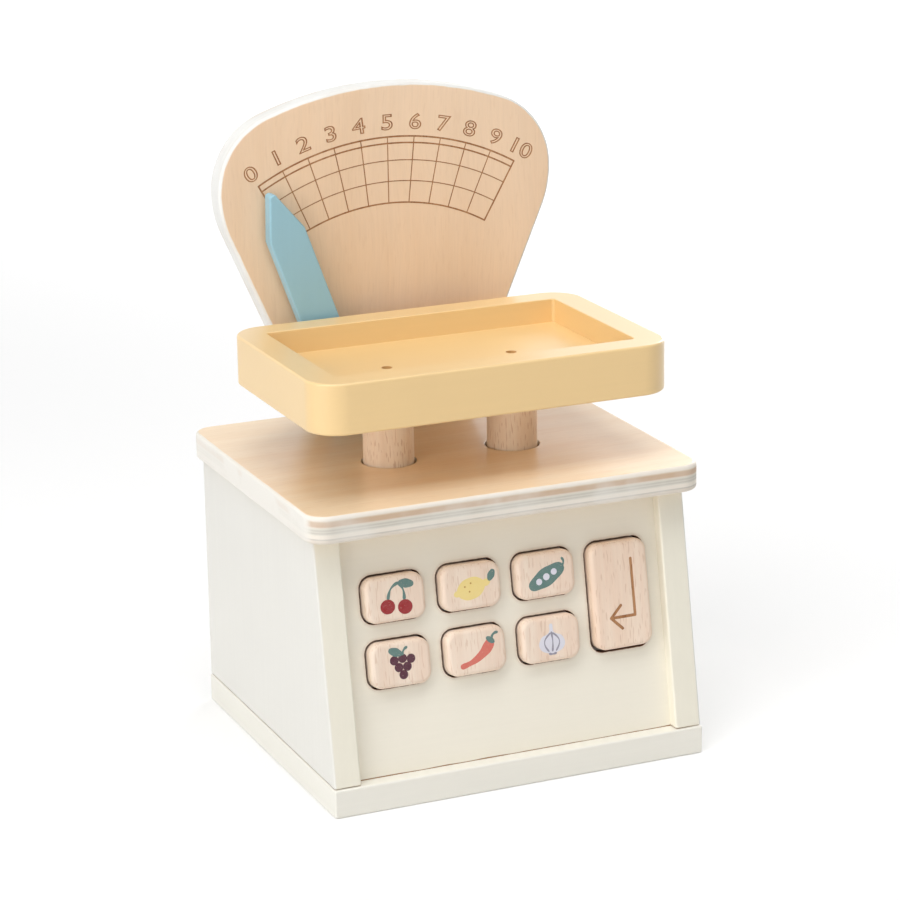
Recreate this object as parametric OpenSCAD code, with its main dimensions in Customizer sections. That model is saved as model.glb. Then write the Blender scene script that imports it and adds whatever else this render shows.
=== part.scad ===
// Toy balance scale in wood: a desk-shaped cabinet with push keys on its sloping front,
// a weighing tray on two sprung posts, and a pointer that swings over an upright dial.
// X runs to the right, Y to the back and Z up. The origin is under the middle of the base.

/* [Cabinet] */
// Width of the base board
base_w = 171; // [160:1:200]
// Depth of the base board
base_d = 155.2; // [150:0.1:180]
// Thickness of the base board
base_t = 12.5; // [10:0.5:16]
// Thickness of the plywood boards
board_t = 12; // [10:0.5:14]
// Thickness of the thin plywood panels
thin_t = 6; // [4:0.5:7]
// Height of the side panels
cabinet_h = 104; // [98:1:120]
// How far the side panels stand in from the ends of the base
side_set = 0.4; // [0:0.1:3]
// How far the foot of the sloping front stands back from the base's front edge
front_set = 0.9; // [0:0.1:4]
// How far the front leans back over its height
front_lean = 18.7; // [10:0.1:26]
// How far the front panel lies behind the edges of the side panels
panel_recess = 5.3; // [2:0.1:8]

/* [Top board] */
// Width of the top board
top_w = 179.4; // [172:0.1:206]
// How far the top board reaches in front of the side panels
top_overhang = 11.6; // [4:0.1:16]
// Corner radius of the top board
top_corner_r = 9.5; // [3:0.5:16]
// How far the top board reaches behind the rear panel
top_back_overhang = 2.4; // [0:0.1:5]

/* [Tray] */
// Width of the tray
tray_w = 163.2; // [140:0.1:175]
// How far the tray's front stands back from the top board's front edge
tray_set = 10.7; // [6:0.1:20]
// Gap between the tray's back and the pointer
tray_back_gap = 2.9; // [2:0.1:10]
// Height of the tray
tray_h = 22; // [18:0.5:30]
// Thickness of the tray's floor
tray_floor_t = 11.4; // [8:0.1:14]
// Thickness of the tray's walls
tray_wall = 13.1; // [8:0.1:18]
// Radius of the tray's outer corners
tray_corner_r = 14.5; // [8:0.5:24]
// Radius of the corners inside the tray
pocket_corner_r = 1.5; // [1:0.5:8]
// Height of the unloaded tray above the top board
tray_gap = 29.7; // [20:0.1:36]

/* [Posts and carriage] */
// Diameter of the two posts
post_d = 22; // [16:0.5:26]
// Length of the posts
post_l = 112; // [104:1:118]
// Distance between the posts
post_spacing = 58.2; // [50:0.1:76]
// Gap round the posts in the top board
post_gap = 1; // [0.5:0.1:2]
// Gap round the posts in the guide board
guide_gap = 0.3; // [0.2:0.05:0.6]
// How far the loaded tray sinks
pan_travel = 13.5; // [10:0.5:16]
// Width of the carriage that joins the posts
carriage_w = 92; // [80:1:110]
// Wood left before and behind the posts in the carriage and in the guide board below it
carriage_rim = 3.3; // [3:0.1:6]
// Width of the carriage's tongue
tongue_w = 24; // [20:1:28]
// Depth of the grooves that hold the guide board
groove_d = 4; // [2:0.5:6]

/* [Dial] */
// Height of the dial above the top board
dial_h = 150.6; // [140:0.1:160]
// Width of the dial at its widest
dial_w = 158.2; // [140:0.1:165]
// Height above the top board at which the dial is widest
dial_widest_h = 107.8; // [102:0.1:114]
// Radius of the dial's shoulders
dial_shoulder_r = 34.8; // [26:0.1:38]
// Radius below the shoulders
dial_side_r = 49; // [40:0.1:60]
// Width of the dial at the top board
dial_foot_w = 73.4; // [72:0.1:90]
// Width of the dial's tail inside the cabinet
dial_tail_w = 68; // [60:1:71]
// How far the tail reaches below the top of the top board
dial_tail_l = 70; // [64:1:80]

/* [Pointer] */
// Length of the pointer from its pivot to its tip
pointer_l = 171; // [150:1:180]
// Width of the pointer
pointer_w = 17.4; // [12:0.1:20]
// Thickness of the pointer
pointer_t = 6.8; // [5:0.1:7]
// Length of the pointer's tapered end
pointer_taper_l = 19.5; // [12:0.5:30]
// Radius of the pointer's tip
pointer_tip_r = 2; // [1:0.1:3]
// Gap between the pointer and its neighbours
pointer_gap = 2; // [1:0.1:2.5]
// Angle that the pointer swings over the whole scale
sweep_a = 39.5; // [30:0.5:42]
// Depth of the pivot below the top of the top board
pivot_drop = 53; // [46:1:56]
// Radius of the pointer round its pivot
hub_r = 11; // [8:0.5:13]
// Width of the pointer's crank
crank_w = 14; // [10:0.5:18]
// Diameter of the pivot screw's shoulder
pivot_d = 5; // [3:0.5:6]
// Diameter of the crank pin
pin_d = 4; // [3:0.5:5]
// Gap round the crank pin in its slot
pin_gap = 0.3; // [0.2:0.05:0.5]
// Gap in front of the pointer in the top board's slot
slot_gap = 1.2; // [0.8:0.1:2]

/* [Keys] */
// Height of a small key's hole
key_hole_h = 20.6; // [16:0.1:22]
// Corner radius of the holes
key_hole_r = 5.6; // [3:0.1:8]
// Wood left between the panel's left end and the first column of holes
key_left_rim = 8.4; // [4:0.1:12]
// Wood left between the last column of holes and the panel's right end
key_right_rim = 6.4; // [4:0.1:12]
// Wood left between two columns of holes
key_column_gap = 6.2; // [6:0.1:9]
// Wood left between the two rows of holes
key_row_gap = 7; // [6:0.1:9]
// Height of the lower holes above the base, along the slope
key_low = 36.9; // [30:0.1:42]
// Gap between a key and its hole
key_gap = 0.6; // [0.4:0.05:0.9]
// How far a key stands out of the panel
key_out = 5; // [4:0.1:7]
// Rounding of a key's front edges
key_edge_r = 2.6; // [1:0.1:3.5]
// How far a key travels
key_travel = 3; // [2:0.1:3.5]
// How far the retainer reaches past the hole on each side
retainer_lip = 2.2; // [1.5:0.1:2.5]
// Thickness of the retainer's plate
retainer_t = 3; // [2:0.1:4]
// Diameter of the retainer's stem
stem_d = 6; // [5:0.1:6.2]

/* [Springs] */
// Mean diameter of the tray springs
pan_spring_d = 14; // [13:0.5:18]
// Wire of the tray springs
pan_wire_d = 1.2; // [0.8:0.1:1.4]
// Curls in a tray spring
pan_spring_turns = 8; // [6:1:10]
// Length of a key spring at rest
key_spring_l = 8; // [7:0.5:9]
// Mean diameter of a key spring
key_spring_d = 8; // [7.8:0.1:9]
// Wire of the key springs
key_wire_d = 0.7; // [0.5:0.1:0.8]
// Curls in a key spring
key_spring_turns = 4; // [3:1:4]

/* [Joinery] */
// Gap left when a piece at rest meets its stop
rest_gap = 0.3; // [0.2:0.05:0.4]
// Gap round glued dowels and screws
glue_gap = 0.05; // [0.02:0.01:0.1]
// Diameter of the glued dowels
dowel_d = 8; // [6:0.5:9]
// Length of the glued dowels
dowel_l = 20; // [16:1:20]
// Diameter of the larger screws
screw_d = 3.5; // [3:0.1:4]
// Head diameter of the larger screws
screw_head_d = 7; // [6:0.1:8]
// Length of the base screws
base_screw_l = 35; // [30:1:45]
// Length of the dial and carriage screws
panel_screw_l = 15; // [13:1:17]
// Diameter of the small screws
small_screw_d = 2.6; // [2.2:0.1:2.8]
// Head diameter of the small screws
small_head_d = 4.4; // [3.8:0.1:4.6]
// Length of the tray screws
tray_screw_l = 26; // [22:1:30]
// Length of the small screws in the key battens
batten_screw_l = 12; // [10:1:14]
// Diameter of the pegs that locate the tray springs
peg_d = 10; // [8:0.5:11]
// Length of a peg inside the wood
peg_inner_l = 7; // [5:0.5:8]
// Length of a peg inside its spring
peg_outer_l = 6; // [4:0.5:8]
// Width of the battens behind the keys
batten_w = 10; // [8:0.5:12]

/* [Hidden] */
$fn = 64;

// Sideways signs: left, then right
sides = [-1, 1];

// Cabinet planes
base_top = base_t;
cabinet_top = base_top + cabinet_h;
board_top = cabinet_top + board_t;
side_x = base_w / 2 - side_set;
inner_x = side_x - board_t;
back_y = base_d / 2;
front_low_y = -base_d / 2 + front_set;
front_high_y = front_low_y + front_lean;
lean_a = atan(front_lean / cabinet_h);
panel_low_y = front_low_y + panel_recess;
rear_y = back_y - thin_t;
top_front_y = front_high_y - top_overhang;
cut = board_t;

// Dial, pointer and drive plate, from back to front
dial_y = rear_y - board_t;
pointer_y = dial_y - pointer_gap - pointer_t;
plate_y = pointer_y - pointer_gap - thin_t;
slot_y = pointer_y - slot_gap;
pivot_z = board_top - pivot_drop;
crank_r = pan_travel / (2 * sin(sweep_a / 2));
crank_x = crank_r * cos(sweep_a / 2);
crank_z = pivot_z + crank_r * sin(sweep_a / 2);
pin_l = pointer_y + pointer_t - plate_y + slot_gap;

// The dial's outline: its shoulders touch the arc of its top edge
shoulder_x = dial_w / 2 - dial_shoulder_r;
shoulder_drop = dial_widest_h - dial_h;
dial_top_r = (pow(dial_shoulder_r, 2) - pow(shoulder_x, 2) - pow(shoulder_drop, 2))
    / (2 * (dial_shoulder_r + shoulder_drop));
shoulder_a = atan(shoulder_x / (dial_top_r + shoulder_drop));
side_arc_x = dial_w / 2 - dial_side_r;
flank_far = norm([dial_foot_w / 2 - side_arc_x, dial_widest_h]);
flank_a = asin(dial_side_r / flank_far)
    - atan((dial_foot_w / 2 - side_arc_x) / dial_widest_h);
// The straight flank ends a hair inside the side's arc, so the two cross
flank_reach = dial_side_r - glue_gap;
flank_x = side_arc_x + flank_reach * cos(flank_a);
flank_z = dial_widest_h - flank_reach * sin(flank_a);

// Tray, posts, carriage and guide board
tray_front_y = top_front_y + tray_set;
tray_d = pointer_y - tray_back_gap - tray_front_y;
pan_y = tray_front_y + tray_d / 2;
carriage_d = post_d + 2 * carriage_rim;
post_x = post_spacing / 2;
tray_z = board_top + tray_gap;
post_foot_z = tray_z - post_l;
carriage_top = cabinet_top - rest_gap;
carriage_z = carriage_top - board_t;
guide_z = carriage_z - pan_travel - rest_gap - board_t;
tongue_back_y = plate_y;
tongue_front_y = pan_y + carriage_d / 2;

// Key field, in the panel's own plane: across, up the slope and out of the panel
small_keys = [
    [0, 1], [1, 1], [2, 1],
    [0, 0], [1, 0], [2, 0]
];
columns = 4;
tall_column = columns - 1;
key_field_w = 2 * inner_x - key_left_rim - key_right_rim;
key_hole_w = (key_field_w - (columns - 1) * key_column_gap) / columns;
key_pitch_x = key_hole_w + key_column_gap;
key_pitch_y = key_hole_h + key_row_gap;
tall_hole_h = key_pitch_y + key_hole_h;
retainer_front = -thin_t - rest_gap;
retainer_back = retainer_front - retainer_t;
backing_front = retainer_back - key_spring_l;
backing_back = backing_front - thin_t;
backing_margin = batten_w / 2;
backing_low = key_low - backing_margin;
backing_h = tall_hole_h + 2 * backing_margin;
stem_l = key_spring_l + thin_t + rest_gap;
stem_spread = key_pitch_y / 2;
// The battens end below the guide board
batten_high = (guide_z - rest_gap - base_top - backing_back * sin(lean_a)) / cos(lean_a);
batten_l = batten_high - backing_low;

function key_x(column) = key_left_rim + key_hole_w / 2 - inner_x + column * key_pitch_x;
function small_key_y(row) = key_low + key_hole_h / 2 + row * key_pitch_y;
tall_key_y = key_low + tall_hole_h / 2;

// Places of count things spread evenly between two limits
function spread(low, high, count) = [for (i = [0:count - 1]) low + (high - low) * i / (count - 1)];

base_screw_inset = base_screw_l / 2;
base_screw_ys = spread(front_low_y + base_screw_inset, back_y - base_screw_inset, 3);
dowel_ys = spread(front_high_y + dowel_l, back_y - dowel_l, 3);
side_mid_x = side_x - board_t / 2;
dial_screw_x = dial_tail_w / 2 - screw_head_d;
dial_screw_zs = [board_top - dial_tail_l + screw_head_d, cabinet_top - screw_head_d];
batten_x = inner_x - batten_w / 2;
batten_screw_ys = [backing_low + batten_w, batten_high - batten_w];
carriage_mid_z = carriage_z + board_t / 2;
plate_screw_x = tongue_w / 4;
plate_z = crank_z - crank_w;

// A flat outline given in X and Z, cut from a board that lies from y to y + t
module upright(y, t) {
    translate([0, y + t, 0])
        rotate([90, 0, 0])
            linear_extrude(t)
                children();
}

// A flat outline given in Y and Z, cut from a board that lies from x to x + t
module sideways(x, t) {
    translate([x, 0, 0])
        rotate([90, 0, 90])
            linear_extrude(t)
                children();
}

// Places things on the sloping front panel, with Z pointing out of it
module on_panel(x, y, z) {
    translate([0, panel_low_y, base_top])
        rotate([90 - lean_a, 0, 0])
            translate([x, y, z])
                children();
}

module rounded_rect(w, h, r) {
    square([w - 2 * r, h], center = true);
    square([w, h - 2 * r], center = true);
    for (x = sides, y = sides)
        translate([x * (w / 2 - r), y * (h / 2 - r)])
            circle(r = r);
}

// A countersunk wood screw pointing down, with its head's top at zero
module screw_shape(l, d, head_d, gap) {
    taper = (head_d - d) / 2;
    rotate_extrude()
        polygon([
            [0, 0],
            [head_d / 2 + gap, 0],
            [d / 2 + gap, -taper],
            [d / 2 + gap, -(l - d)],
            [0, -l - gap]
        ]);
}

// The cross recess and its depth follow the head
module wood_screw(l, d, head_d) {
    recess_w = head_d / 7;
    recess_l = head_d / 2;
    recess_depth = head_d / 5;
    difference() {
        screw_shape(l, d, head_d, 0);
        for (turn = [0, 90])
            rotate([0, 0, turn])
                cube([recess_l, recess_w, 2 * recess_depth], center = true);
    }
}

// An open coil along Z, with rings round one unbroken wire
rings_per_curl = 8;
wire_sides = 6;
function coil_centre(r, l, wire, turns, i) = [
    r * cos(360 * i / rings_per_curl),
    r * sin(360 * i / rings_per_curl),
    wire / 2 + (l - wire) * i / (rings_per_curl * turns)
];
function coil_ring(r, l, wire, turns, i) = [
    for (k = [0:wire_sides - 1])
        let (a = 360 * (k + 0.5) / wire_sides, turn = 360 * i / rings_per_curl)
            coil_centre(r, l, wire, turns, i)
                + wire / 2 * [cos(a) * cos(turn), cos(a) * sin(turn), sin(a)]
];
// The smallest gap between one curl's wire and the next, measured on the ring centres
function coil_gap(r, l, wire, turns) = min([
    for (i = [0:rings_per_curl * (turns - 1)])
        for (j = [i + rings_per_curl / 2:rings_per_curl * turns])
            norm(coil_centre(r, l, wire, turns, i) - coil_centre(r, l, wire, turns, j))
]) - wire;
echo(pan_spring_gap = coil_gap(pan_spring_d / 2, post_foot_z - base_top, pan_wire_d,
    pan_spring_turns));
echo(key_spring_gap = coil_gap(key_spring_d / 2, key_spring_l, key_wire_d, key_spring_turns));

module coil(r, l, wire, turns) {
    last = rings_per_curl * turns;
    points = [for (i = [0:last]) each coil_ring(r, l, wire, turns, i)];
    walls = [
        for (i = [0:last - 1], k = [0:wire_sides - 1])
            let (
                a = i * wire_sides + k,
                b = i * wire_sides + (k + 1) % wire_sides,
                c = a + wire_sides,
                d = b + wire_sides
            )
                each [[a, d, b], [a, c, d]]
    ];
    first_cap = [for (k = [1:wire_sides - 2]) [0, k, k + 1]];
    last_cap = [
        for (k = [1:wire_sides - 2])
            [last * wire_sides, last * wire_sides + k + 1, last * wire_sides + k]
    ];
    polyhedron(points, concat(walls, first_cap, last_cap));
}

// The fixed cabinet

module spring_places(z) {
    for (s = sides)
        translate([s * post_x, pan_y, z])
            children();
}

module peg(gap) {
    translate([0, 0, -peg_inner_l - gap])
        cylinder(d = peg_d + 2 * gap, h = peg_inner_l + peg_outer_l + gap);
}

module base_board() {
    color("#e9e4d6")
        difference() {
            translate([-base_w / 2, -base_d / 2, 0])
                cube([base_w, base_d, base_t]);
            for (s = sides, y = base_screw_ys)
                translate([s * side_mid_x, y, 0])
                    rotate([180, 0, 0])
                        screw_shape(base_screw_l, screw_d, screw_head_d, glue_gap);
            spring_places(base_top)
                peg(glue_gap);
        }
}

module side_panel(s) {
    difference() {
        sideways(s > 0 ? inner_x : -side_x, board_t)
            polygon([
                [front_low_y, base_top],
                [back_y, base_top],
                [back_y, cabinet_top],
                [front_high_y, cabinet_top]
            ]);
        for (y = base_screw_ys)
            translate([s * side_mid_x, y, 0])
                rotate([180, 0, 0])
                    screw_shape(base_screw_l, screw_d, screw_head_d, glue_gap);
        for (y = dowel_ys)
            translate([s * side_mid_x, y, cabinet_top])
                cylinder(d = dowel_d + 2 * glue_gap, h = dowel_l + glue_gap, center = true);
        translate([0, pan_y, guide_z + board_t / 2])
            cube([
                2 * (inner_x + groove_d + glue_gap),
                carriage_d + 2 * glue_gap,
                board_t + 2 * glue_gap
            ], center = true);
    }
}

module left_side_panel() {
    color("#f3f0e6") side_panel(-1);
}

module right_side_panel() {
    color("#e9e4d6") side_panel(1);
}

module key_hole(h) {
    translate([0, 0, -thin_t - cut])
        linear_extrude(thin_t + 2 * cut)
            rounded_rect(key_hole_w, h, key_hole_r);
}

module front_panel() {
    depth = thin_t / cos(lean_a);
    color("#e6e0d0")
        difference() {
            sideways(-inner_x, 2 * inner_x)
                polygon([
                    [panel_low_y, base_top],
                    [panel_low_y + depth, base_top],
                    [panel_low_y + front_lean + depth, cabinet_top],
                    [panel_low_y + front_lean, cabinet_top]
                ]);
            for (k = small_keys)
                on_panel(key_x(k[0]), small_key_y(k[1]), 0)
                    key_hole(key_hole_h);
            on_panel(key_x(tall_column), tall_key_y, 0)
                key_hole(tall_hole_h);
        }
}

module dial_screw_places() {
    for (s = sides, z = dial_screw_zs)
        translate([s * dial_screw_x, back_y, z])
            rotate([-90, 0, 0])
                children();
}

module rear_panel() {
    color("#e9e4d6")
        difference() {
            translate([-inner_x, rear_y, base_top])
                cube([2 * inner_x, thin_t, cabinet_h]);
            dial_screw_places()
                screw_shape(panel_screw_l, screw_d, screw_head_d, glue_gap);
        }
}

module top_board() {
    top_d = back_y + top_back_overhang - top_front_y;
    color("#deb98f")
        difference() {
            translate([0, top_front_y + top_d / 2, cabinet_top])
                linear_extrude(board_t)
                    rounded_rect(top_w, top_d, top_corner_r);
            spring_places(cabinet_top - cut)
                cylinder(d = post_d + 2 * post_gap, h = board_t + 2 * cut);
            translate([-dial_tail_w / 2 - glue_gap, slot_y, cabinet_top - cut])
                cube([dial_tail_w + 2 * glue_gap, rear_y - slot_y, board_t + 2 * cut]);
            for (s = sides, y = dowel_ys)
                translate([s * side_mid_x, y, cabinet_top])
                    cylinder(d = dowel_d + 2 * glue_gap, h = dowel_l + glue_gap, center = true);
        }
}

// The dial's outline above the top board, with its foot at height zero
module dial_outline() {
    top_x = dial_top_r * sin(shoulder_a);
    polygon([
        [-dial_foot_w / 2, 0],
        [dial_foot_w / 2, 0],
        [flank_x, flank_z],
        [side_arc_x, dial_widest_h],
        [-side_arc_x, dial_widest_h],
        [-flank_x, flank_z]
    ]);
    for (s = sides) {
        intersection() {
            translate([s * side_arc_x, dial_widest_h])
                circle(r = dial_side_r);
            translate([s > 0 ? side_arc_x : -dial_w / 2, dial_widest_h - dial_side_r])
                square(dial_side_r);
        }
        translate([s * shoulder_x, dial_widest_h])
            circle(r = dial_shoulder_r);
    }
    intersection() {
        translate([0, dial_h - dial_top_r])
            circle(r = dial_top_r);
        translate([-top_x, dial_widest_h - dial_shoulder_r / 2])
            square([2 * top_x, dial_h]);
    }
}

module dial_board() {
    color("#e4c4a3")
        difference() {
            union() {
                upright(dial_y, board_t)
                    translate([0, board_top])
                        dial_outline();
                translate([-dial_tail_w / 2, dial_y, board_top - dial_tail_l])
                    cube([dial_tail_w, board_t, dial_tail_l + board_t / 2]);
            }
            dial_screw_places()
                screw_shape(panel_screw_l, screw_d, screw_head_d, glue_gap);
            translate([0, dial_y, pivot_z])
                rotate([90, 0, 0])
                    pivot_shape(glue_gap);
        }
}

module guide_board() {
    color("#d8b88e")
        difference() {
            translate([0, pan_y, guide_z + board_t / 2])
                cube([2 * (inner_x + groove_d), carriage_d, board_t], center = true);
            spring_places(guide_z - cut)
                cylinder(d = post_d + 2 * guide_gap, h = board_t + 2 * cut);
        }
}

module key_backing_board() {
    color("#d8b88e")
        difference() {
            on_panel(-inner_x, backing_low, backing_back)
                cube([2 * inner_x, backing_h, thin_t]);
            for (k = small_keys)
                on_panel(key_x(k[0]), small_key_y(k[1]), backing_back - cut)
                    cylinder(d = stem_d + 2 * rest_gap, h = thin_t + 2 * cut);
            for (s = sides)
                on_panel(key_x(tall_column), tall_key_y + s * stem_spread / 2, backing_back - cut)
                    cylinder(d = stem_d + 2 * rest_gap, h = thin_t + 2 * cut);
            for (s = sides, y = batten_screw_ys)
                on_panel(s * batten_x, y, backing_front)
                    screw_shape(batten_screw_l, small_screw_d, small_head_d, glue_gap);
        }
}

module key_battens() {
    color("#d8b88e")
        for (s = sides)
            difference() {
                on_panel(s * batten_x - batten_w / 2, backing_low, backing_back - batten_w)
                    cube([batten_w, batten_l, batten_w]);
                for (y = batten_screw_ys)
                    on_panel(s * batten_x, y, backing_front)
                        screw_shape(batten_screw_l, small_screw_d, small_head_d, glue_gap);
            }
}

module base_screws() {
    color("#c9b26a")
        for (s = sides, y = base_screw_ys)
            translate([s * side_mid_x, y, 0])
                rotate([180, 0, 0])
                    wood_screw(base_screw_l, screw_d, screw_head_d);
}

module top_dowels() {
    color("#d9b98e")
        for (s = sides, y = dowel_ys)
            translate([s * side_mid_x, y, cabinet_top])
                cylinder(d = dowel_d, h = dowel_l, center = true);
}

module dial_screws() {
    color("#c9b26a")
        dial_screw_places()
            wood_screw(panel_screw_l, screw_d, screw_head_d);
}

module backing_screws() {
    color("#c9b26a")
        for (s = sides, y = batten_screw_ys)
            on_panel(s * batten_x, y, backing_front)
                wood_screw(batten_screw_l, small_screw_d, small_head_d);
}

module spring_pegs() {
    color("#d9b98e")
        spring_places(base_top)
            peg(0);
}

// The pivot screw's profile with Z towards the front: thread, shoulder and head.
// The shoulder runs through the washer and the pointer.
module pivot_shape(gap) {
    thread_d = pivot_d * 4 / 5;
    thread_l = board_t - rest_gap;
    shoulder_l = pointer_gap + pointer_t + rest_gap;
    head_d = 2 * pivot_d;
    head_t = pivot_d / 3;
    translate([0, 0, -thread_l])
        cylinder(d = thread_d + 2 * gap, h = thread_l);
    cylinder(d = pivot_d, h = shoulder_l);
    translate([0, 0, shoulder_l])
        cylinder(d = head_d, h = head_t);
}

module pivot_screw() {
    color("#b8babd")
        translate([0, dial_y, pivot_z])
            rotate([90, 0, 0])
                pivot_shape(0);
}

module pivot_washer() {
    washer_t = pointer_gap - rest_gap;
    color("#f0f0ee")
        upright(dial_y - washer_t, washer_t)
            translate([0, pivot_z])
                difference() {
                    circle(r = hub_r / 2);
                    circle(d = pivot_d + 2 * glue_gap);
                }
}

// The weighing tray and what moves with it

module tray() {
    screw_z = tray_floor_t - small_head_d / 2;
    color("#f2d292")
        translate([0, pan_y, tray_z])
            difference() {
                linear_extrude(tray_h)
                    rounded_rect(tray_w, tray_d, tray_corner_r);
                translate([0, 0, tray_floor_t])
                    linear_extrude(tray_h)
                        rounded_rect(tray_w - 2 * tray_wall, tray_d - 2 * tray_wall, pocket_corner_r);
                for (s = sides)
                    translate([s * post_x, 0, screw_z]) {
                        screw_shape(tray_screw_l, small_screw_d, small_head_d, glue_gap);
                        cylinder(d = small_head_d + 2 * glue_gap, h = tray_h);
                    }
            }
}

module tray_screw_places() {
    spring_places(tray_z + tray_floor_t - small_head_d / 2)
        children();
}

module carriage_screw_places() {
    for (s = sides)
        translate([s * post_x, pan_y - carriage_d / 2, carriage_mid_z])
            rotate([90, 0, 0])
                children();
}

module post(s) {
    difference() {
        translate([s * post_x, pan_y, post_foot_z])
            cylinder(d = post_d, h = post_l);
        tray_screw_places()
            screw_shape(tray_screw_l, small_screw_d, small_head_d, glue_gap);
        carriage_screw_places()
            screw_shape(panel_screw_l, small_screw_d, small_head_d, glue_gap);
        spring_places(post_foot_z)
            mirror([0, 0, 1])
                peg(glue_gap);
    }
}

module left_post() {
    color("#d9b48a") post(-1);
}

module right_post() {
    color("#d9b48a") post(1);
}

module plate_screw_places() {
    for (s = sides)
        translate([crank_x + s * plate_screw_x, plate_y + thin_t, carriage_mid_z])
            rotate([-90, 0, 0])
                children();
}

module carriage() {
    color("#d8b88e")
        difference() {
            union() {
                translate([-carriage_w / 2, pan_y - carriage_d / 2, carriage_z])
                    cube([carriage_w, carriage_d, board_t]);
                translate([crank_x - tongue_w / 2, pan_y, carriage_z])
                    cube([tongue_w, tongue_back_y - pan_y, board_t]);
            }
            spring_places(carriage_z - cut)
                cylinder(d = post_d + 2 * glue_gap, h = board_t + 2 * cut);
            carriage_screw_places()
                screw_shape(panel_screw_l, small_screw_d, small_head_d, glue_gap);
            plate_screw_places()
                screw_shape(panel_screw_l, small_screw_d, small_head_d, glue_gap);
        }
}

// The crank pin runs in a slot that leaves room for its small sideways arc
module drive_plate() {
    slot_d = pin_d + 2 * pin_gap;
    color("#d8b88e")
        difference() {
            translate([crank_x - tongue_w / 2, plate_y, plate_z])
                cube([tongue_w, thin_t, carriage_top - plate_z]);
            upright(plate_y - cut, thin_t + 2 * cut) {
                translate([crank_x, crank_z])
                    circle(d = slot_d);
                translate([crank_r, crank_z])
                    circle(d = slot_d);
                translate([crank_x, crank_z - slot_d / 2])
                    square([crank_r - crank_x, slot_d]);
            }
            plate_screw_places()
                screw_shape(panel_screw_l, small_screw_d, small_head_d, glue_gap);
        }
}

module tray_screws() {
    color("#8d8f92")
        tray_screw_places()
            wood_screw(tray_screw_l, small_screw_d, small_head_d);
}

module carriage_screws() {
    color("#c9b26a")
        carriage_screw_places()
            wood_screw(panel_screw_l, small_screw_d, small_head_d);
}

module drive_plate_screws() {
    color("#c9b26a")
        plate_screw_places()
            wood_screw(panel_screw_l, small_screw_d, small_head_d);
}

module post_pegs() {
    color("#d9b98e")
        spring_places(post_foot_z)
            mirror([0, 0, 1])
                peg(0);
}

module pan_springs() {
    color("#b8babd")
        spring_places(base_top)
            coil(pan_spring_d / 2, post_foot_z - base_top, pan_wire_d, pan_spring_turns);
}

// The pointer, drawn upright with its pivot at zero and its crank to the right

module pointer_outline() {
    knee = pointer_l - pointer_taper_l;
    tip = pointer_l - pointer_tip_r;
    polygon([
        [-pointer_w / 2, 0],
        [pointer_w / 2, 0],
        [pointer_w / 2, knee],
        [pointer_tip_r, tip],
        [-pointer_tip_r, tip],
        [-pointer_w / 2, knee]
    ]);
    translate([0, tip])
        circle(r = pointer_tip_r);
    circle(r = hub_r);
    translate([0, -crank_w / 2])
        square([crank_r, crank_w]);
    translate([crank_r, 0])
        circle(d = crank_w);
}

module pointer() {
    color("#9cb8bf")
        translate([0, 0, pivot_z])
            rotate([0, -sweep_a / 2, 0])
                upright(pointer_y, pointer_t)
                    difference() {
                        pointer_outline();
                        circle(d = pivot_d + 2 * glue_gap);
                        translate([crank_r, 0])
                            circle(d = pin_d + 2 * glue_gap);
                    }
}

module crank_pin() {
    color("#b8babd")
        upright(pointer_y + pointer_t - pin_l, pin_l)
            translate([crank_x, crank_z])
                circle(d = pin_d);
}

// The keys, each with a retainer behind the panel and a return spring

module key_cap(h) {
    cap_w = key_hole_w - 2 * key_gap;
    cap_h = h - 2 * key_gap;
    corner_r = key_hole_r - key_gap;
    slice_t = key_edge_r / 50;
    hull() {
        translate([0, 0, retainer_front])
            linear_extrude(slice_t)
                rounded_rect(cap_w, cap_h, corner_r, $fn = 32);
        for (a = [0:22.5:90]) {
            inset = key_edge_r * (1 - cos(a));
            translate([0, 0, key_out - key_edge_r * (1 - sin(a)) - slice_t])
                linear_extrude(slice_t)
                    rounded_rect(cap_w - 2 * inset, cap_h - 2 * inset, corner_r - inset, $fn = 32);
        }
    }
}

module small_key(i) {
    color("#edd3bd")
        on_panel(key_x(small_keys[i][0]), small_key_y(small_keys[i][1]), 0)
            key_cap(key_hole_h);
}

module key_1() small_key(0);
module key_2() small_key(1);
module key_3() small_key(2);
module key_4() small_key(3);
module key_5() small_key(4);
module key_6() small_key(5);

module tall_key() {
    color("#e8cdb2")
        on_panel(key_x(tall_column), tall_key_y, 0)
            key_cap(tall_hole_h);
}

module retainer_plate(h) {
    translate([0, 0, retainer_back])
        linear_extrude(retainer_t)
            rounded_rect(key_hole_w + 2 * retainer_lip, h + 2 * retainer_lip, retainer_lip);
}

module retainer_stem() {
    translate([0, 0, retainer_back - stem_l])
        cylinder(d = stem_d, h = stem_l);
}

module small_retainer(i) {
    color("#e8e8e4")
        on_panel(key_x(small_keys[i][0]), small_key_y(small_keys[i][1]), 0) {
            retainer_plate(key_hole_h);
            retainer_stem();
        }
}

module key_1_retainer() small_retainer(0);
module key_2_retainer() small_retainer(1);
module key_3_retainer() small_retainer(2);
module key_4_retainer() small_retainer(3);
module key_5_retainer() small_retainer(4);
module key_6_retainer() small_retainer(5);

module tall_key_retainer() {
    color("#e8e8e4")
        on_panel(key_x(tall_column), tall_key_y, 0) {
            retainer_plate(tall_hole_h);
            for (s = sides)
                translate([0, s * stem_spread / 2, 0])
                    retainer_stem();
        }
}

module key_coil() {
    color("#b8babd")
        translate([0, 0, backing_front])
            coil(key_spring_d / 2, key_spring_l, key_wire_d, key_spring_turns);
}

module small_key_spring(i) {
    on_panel(key_x(small_keys[i][0]), small_key_y(small_keys[i][1]), 0)
        key_coil();
}

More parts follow.
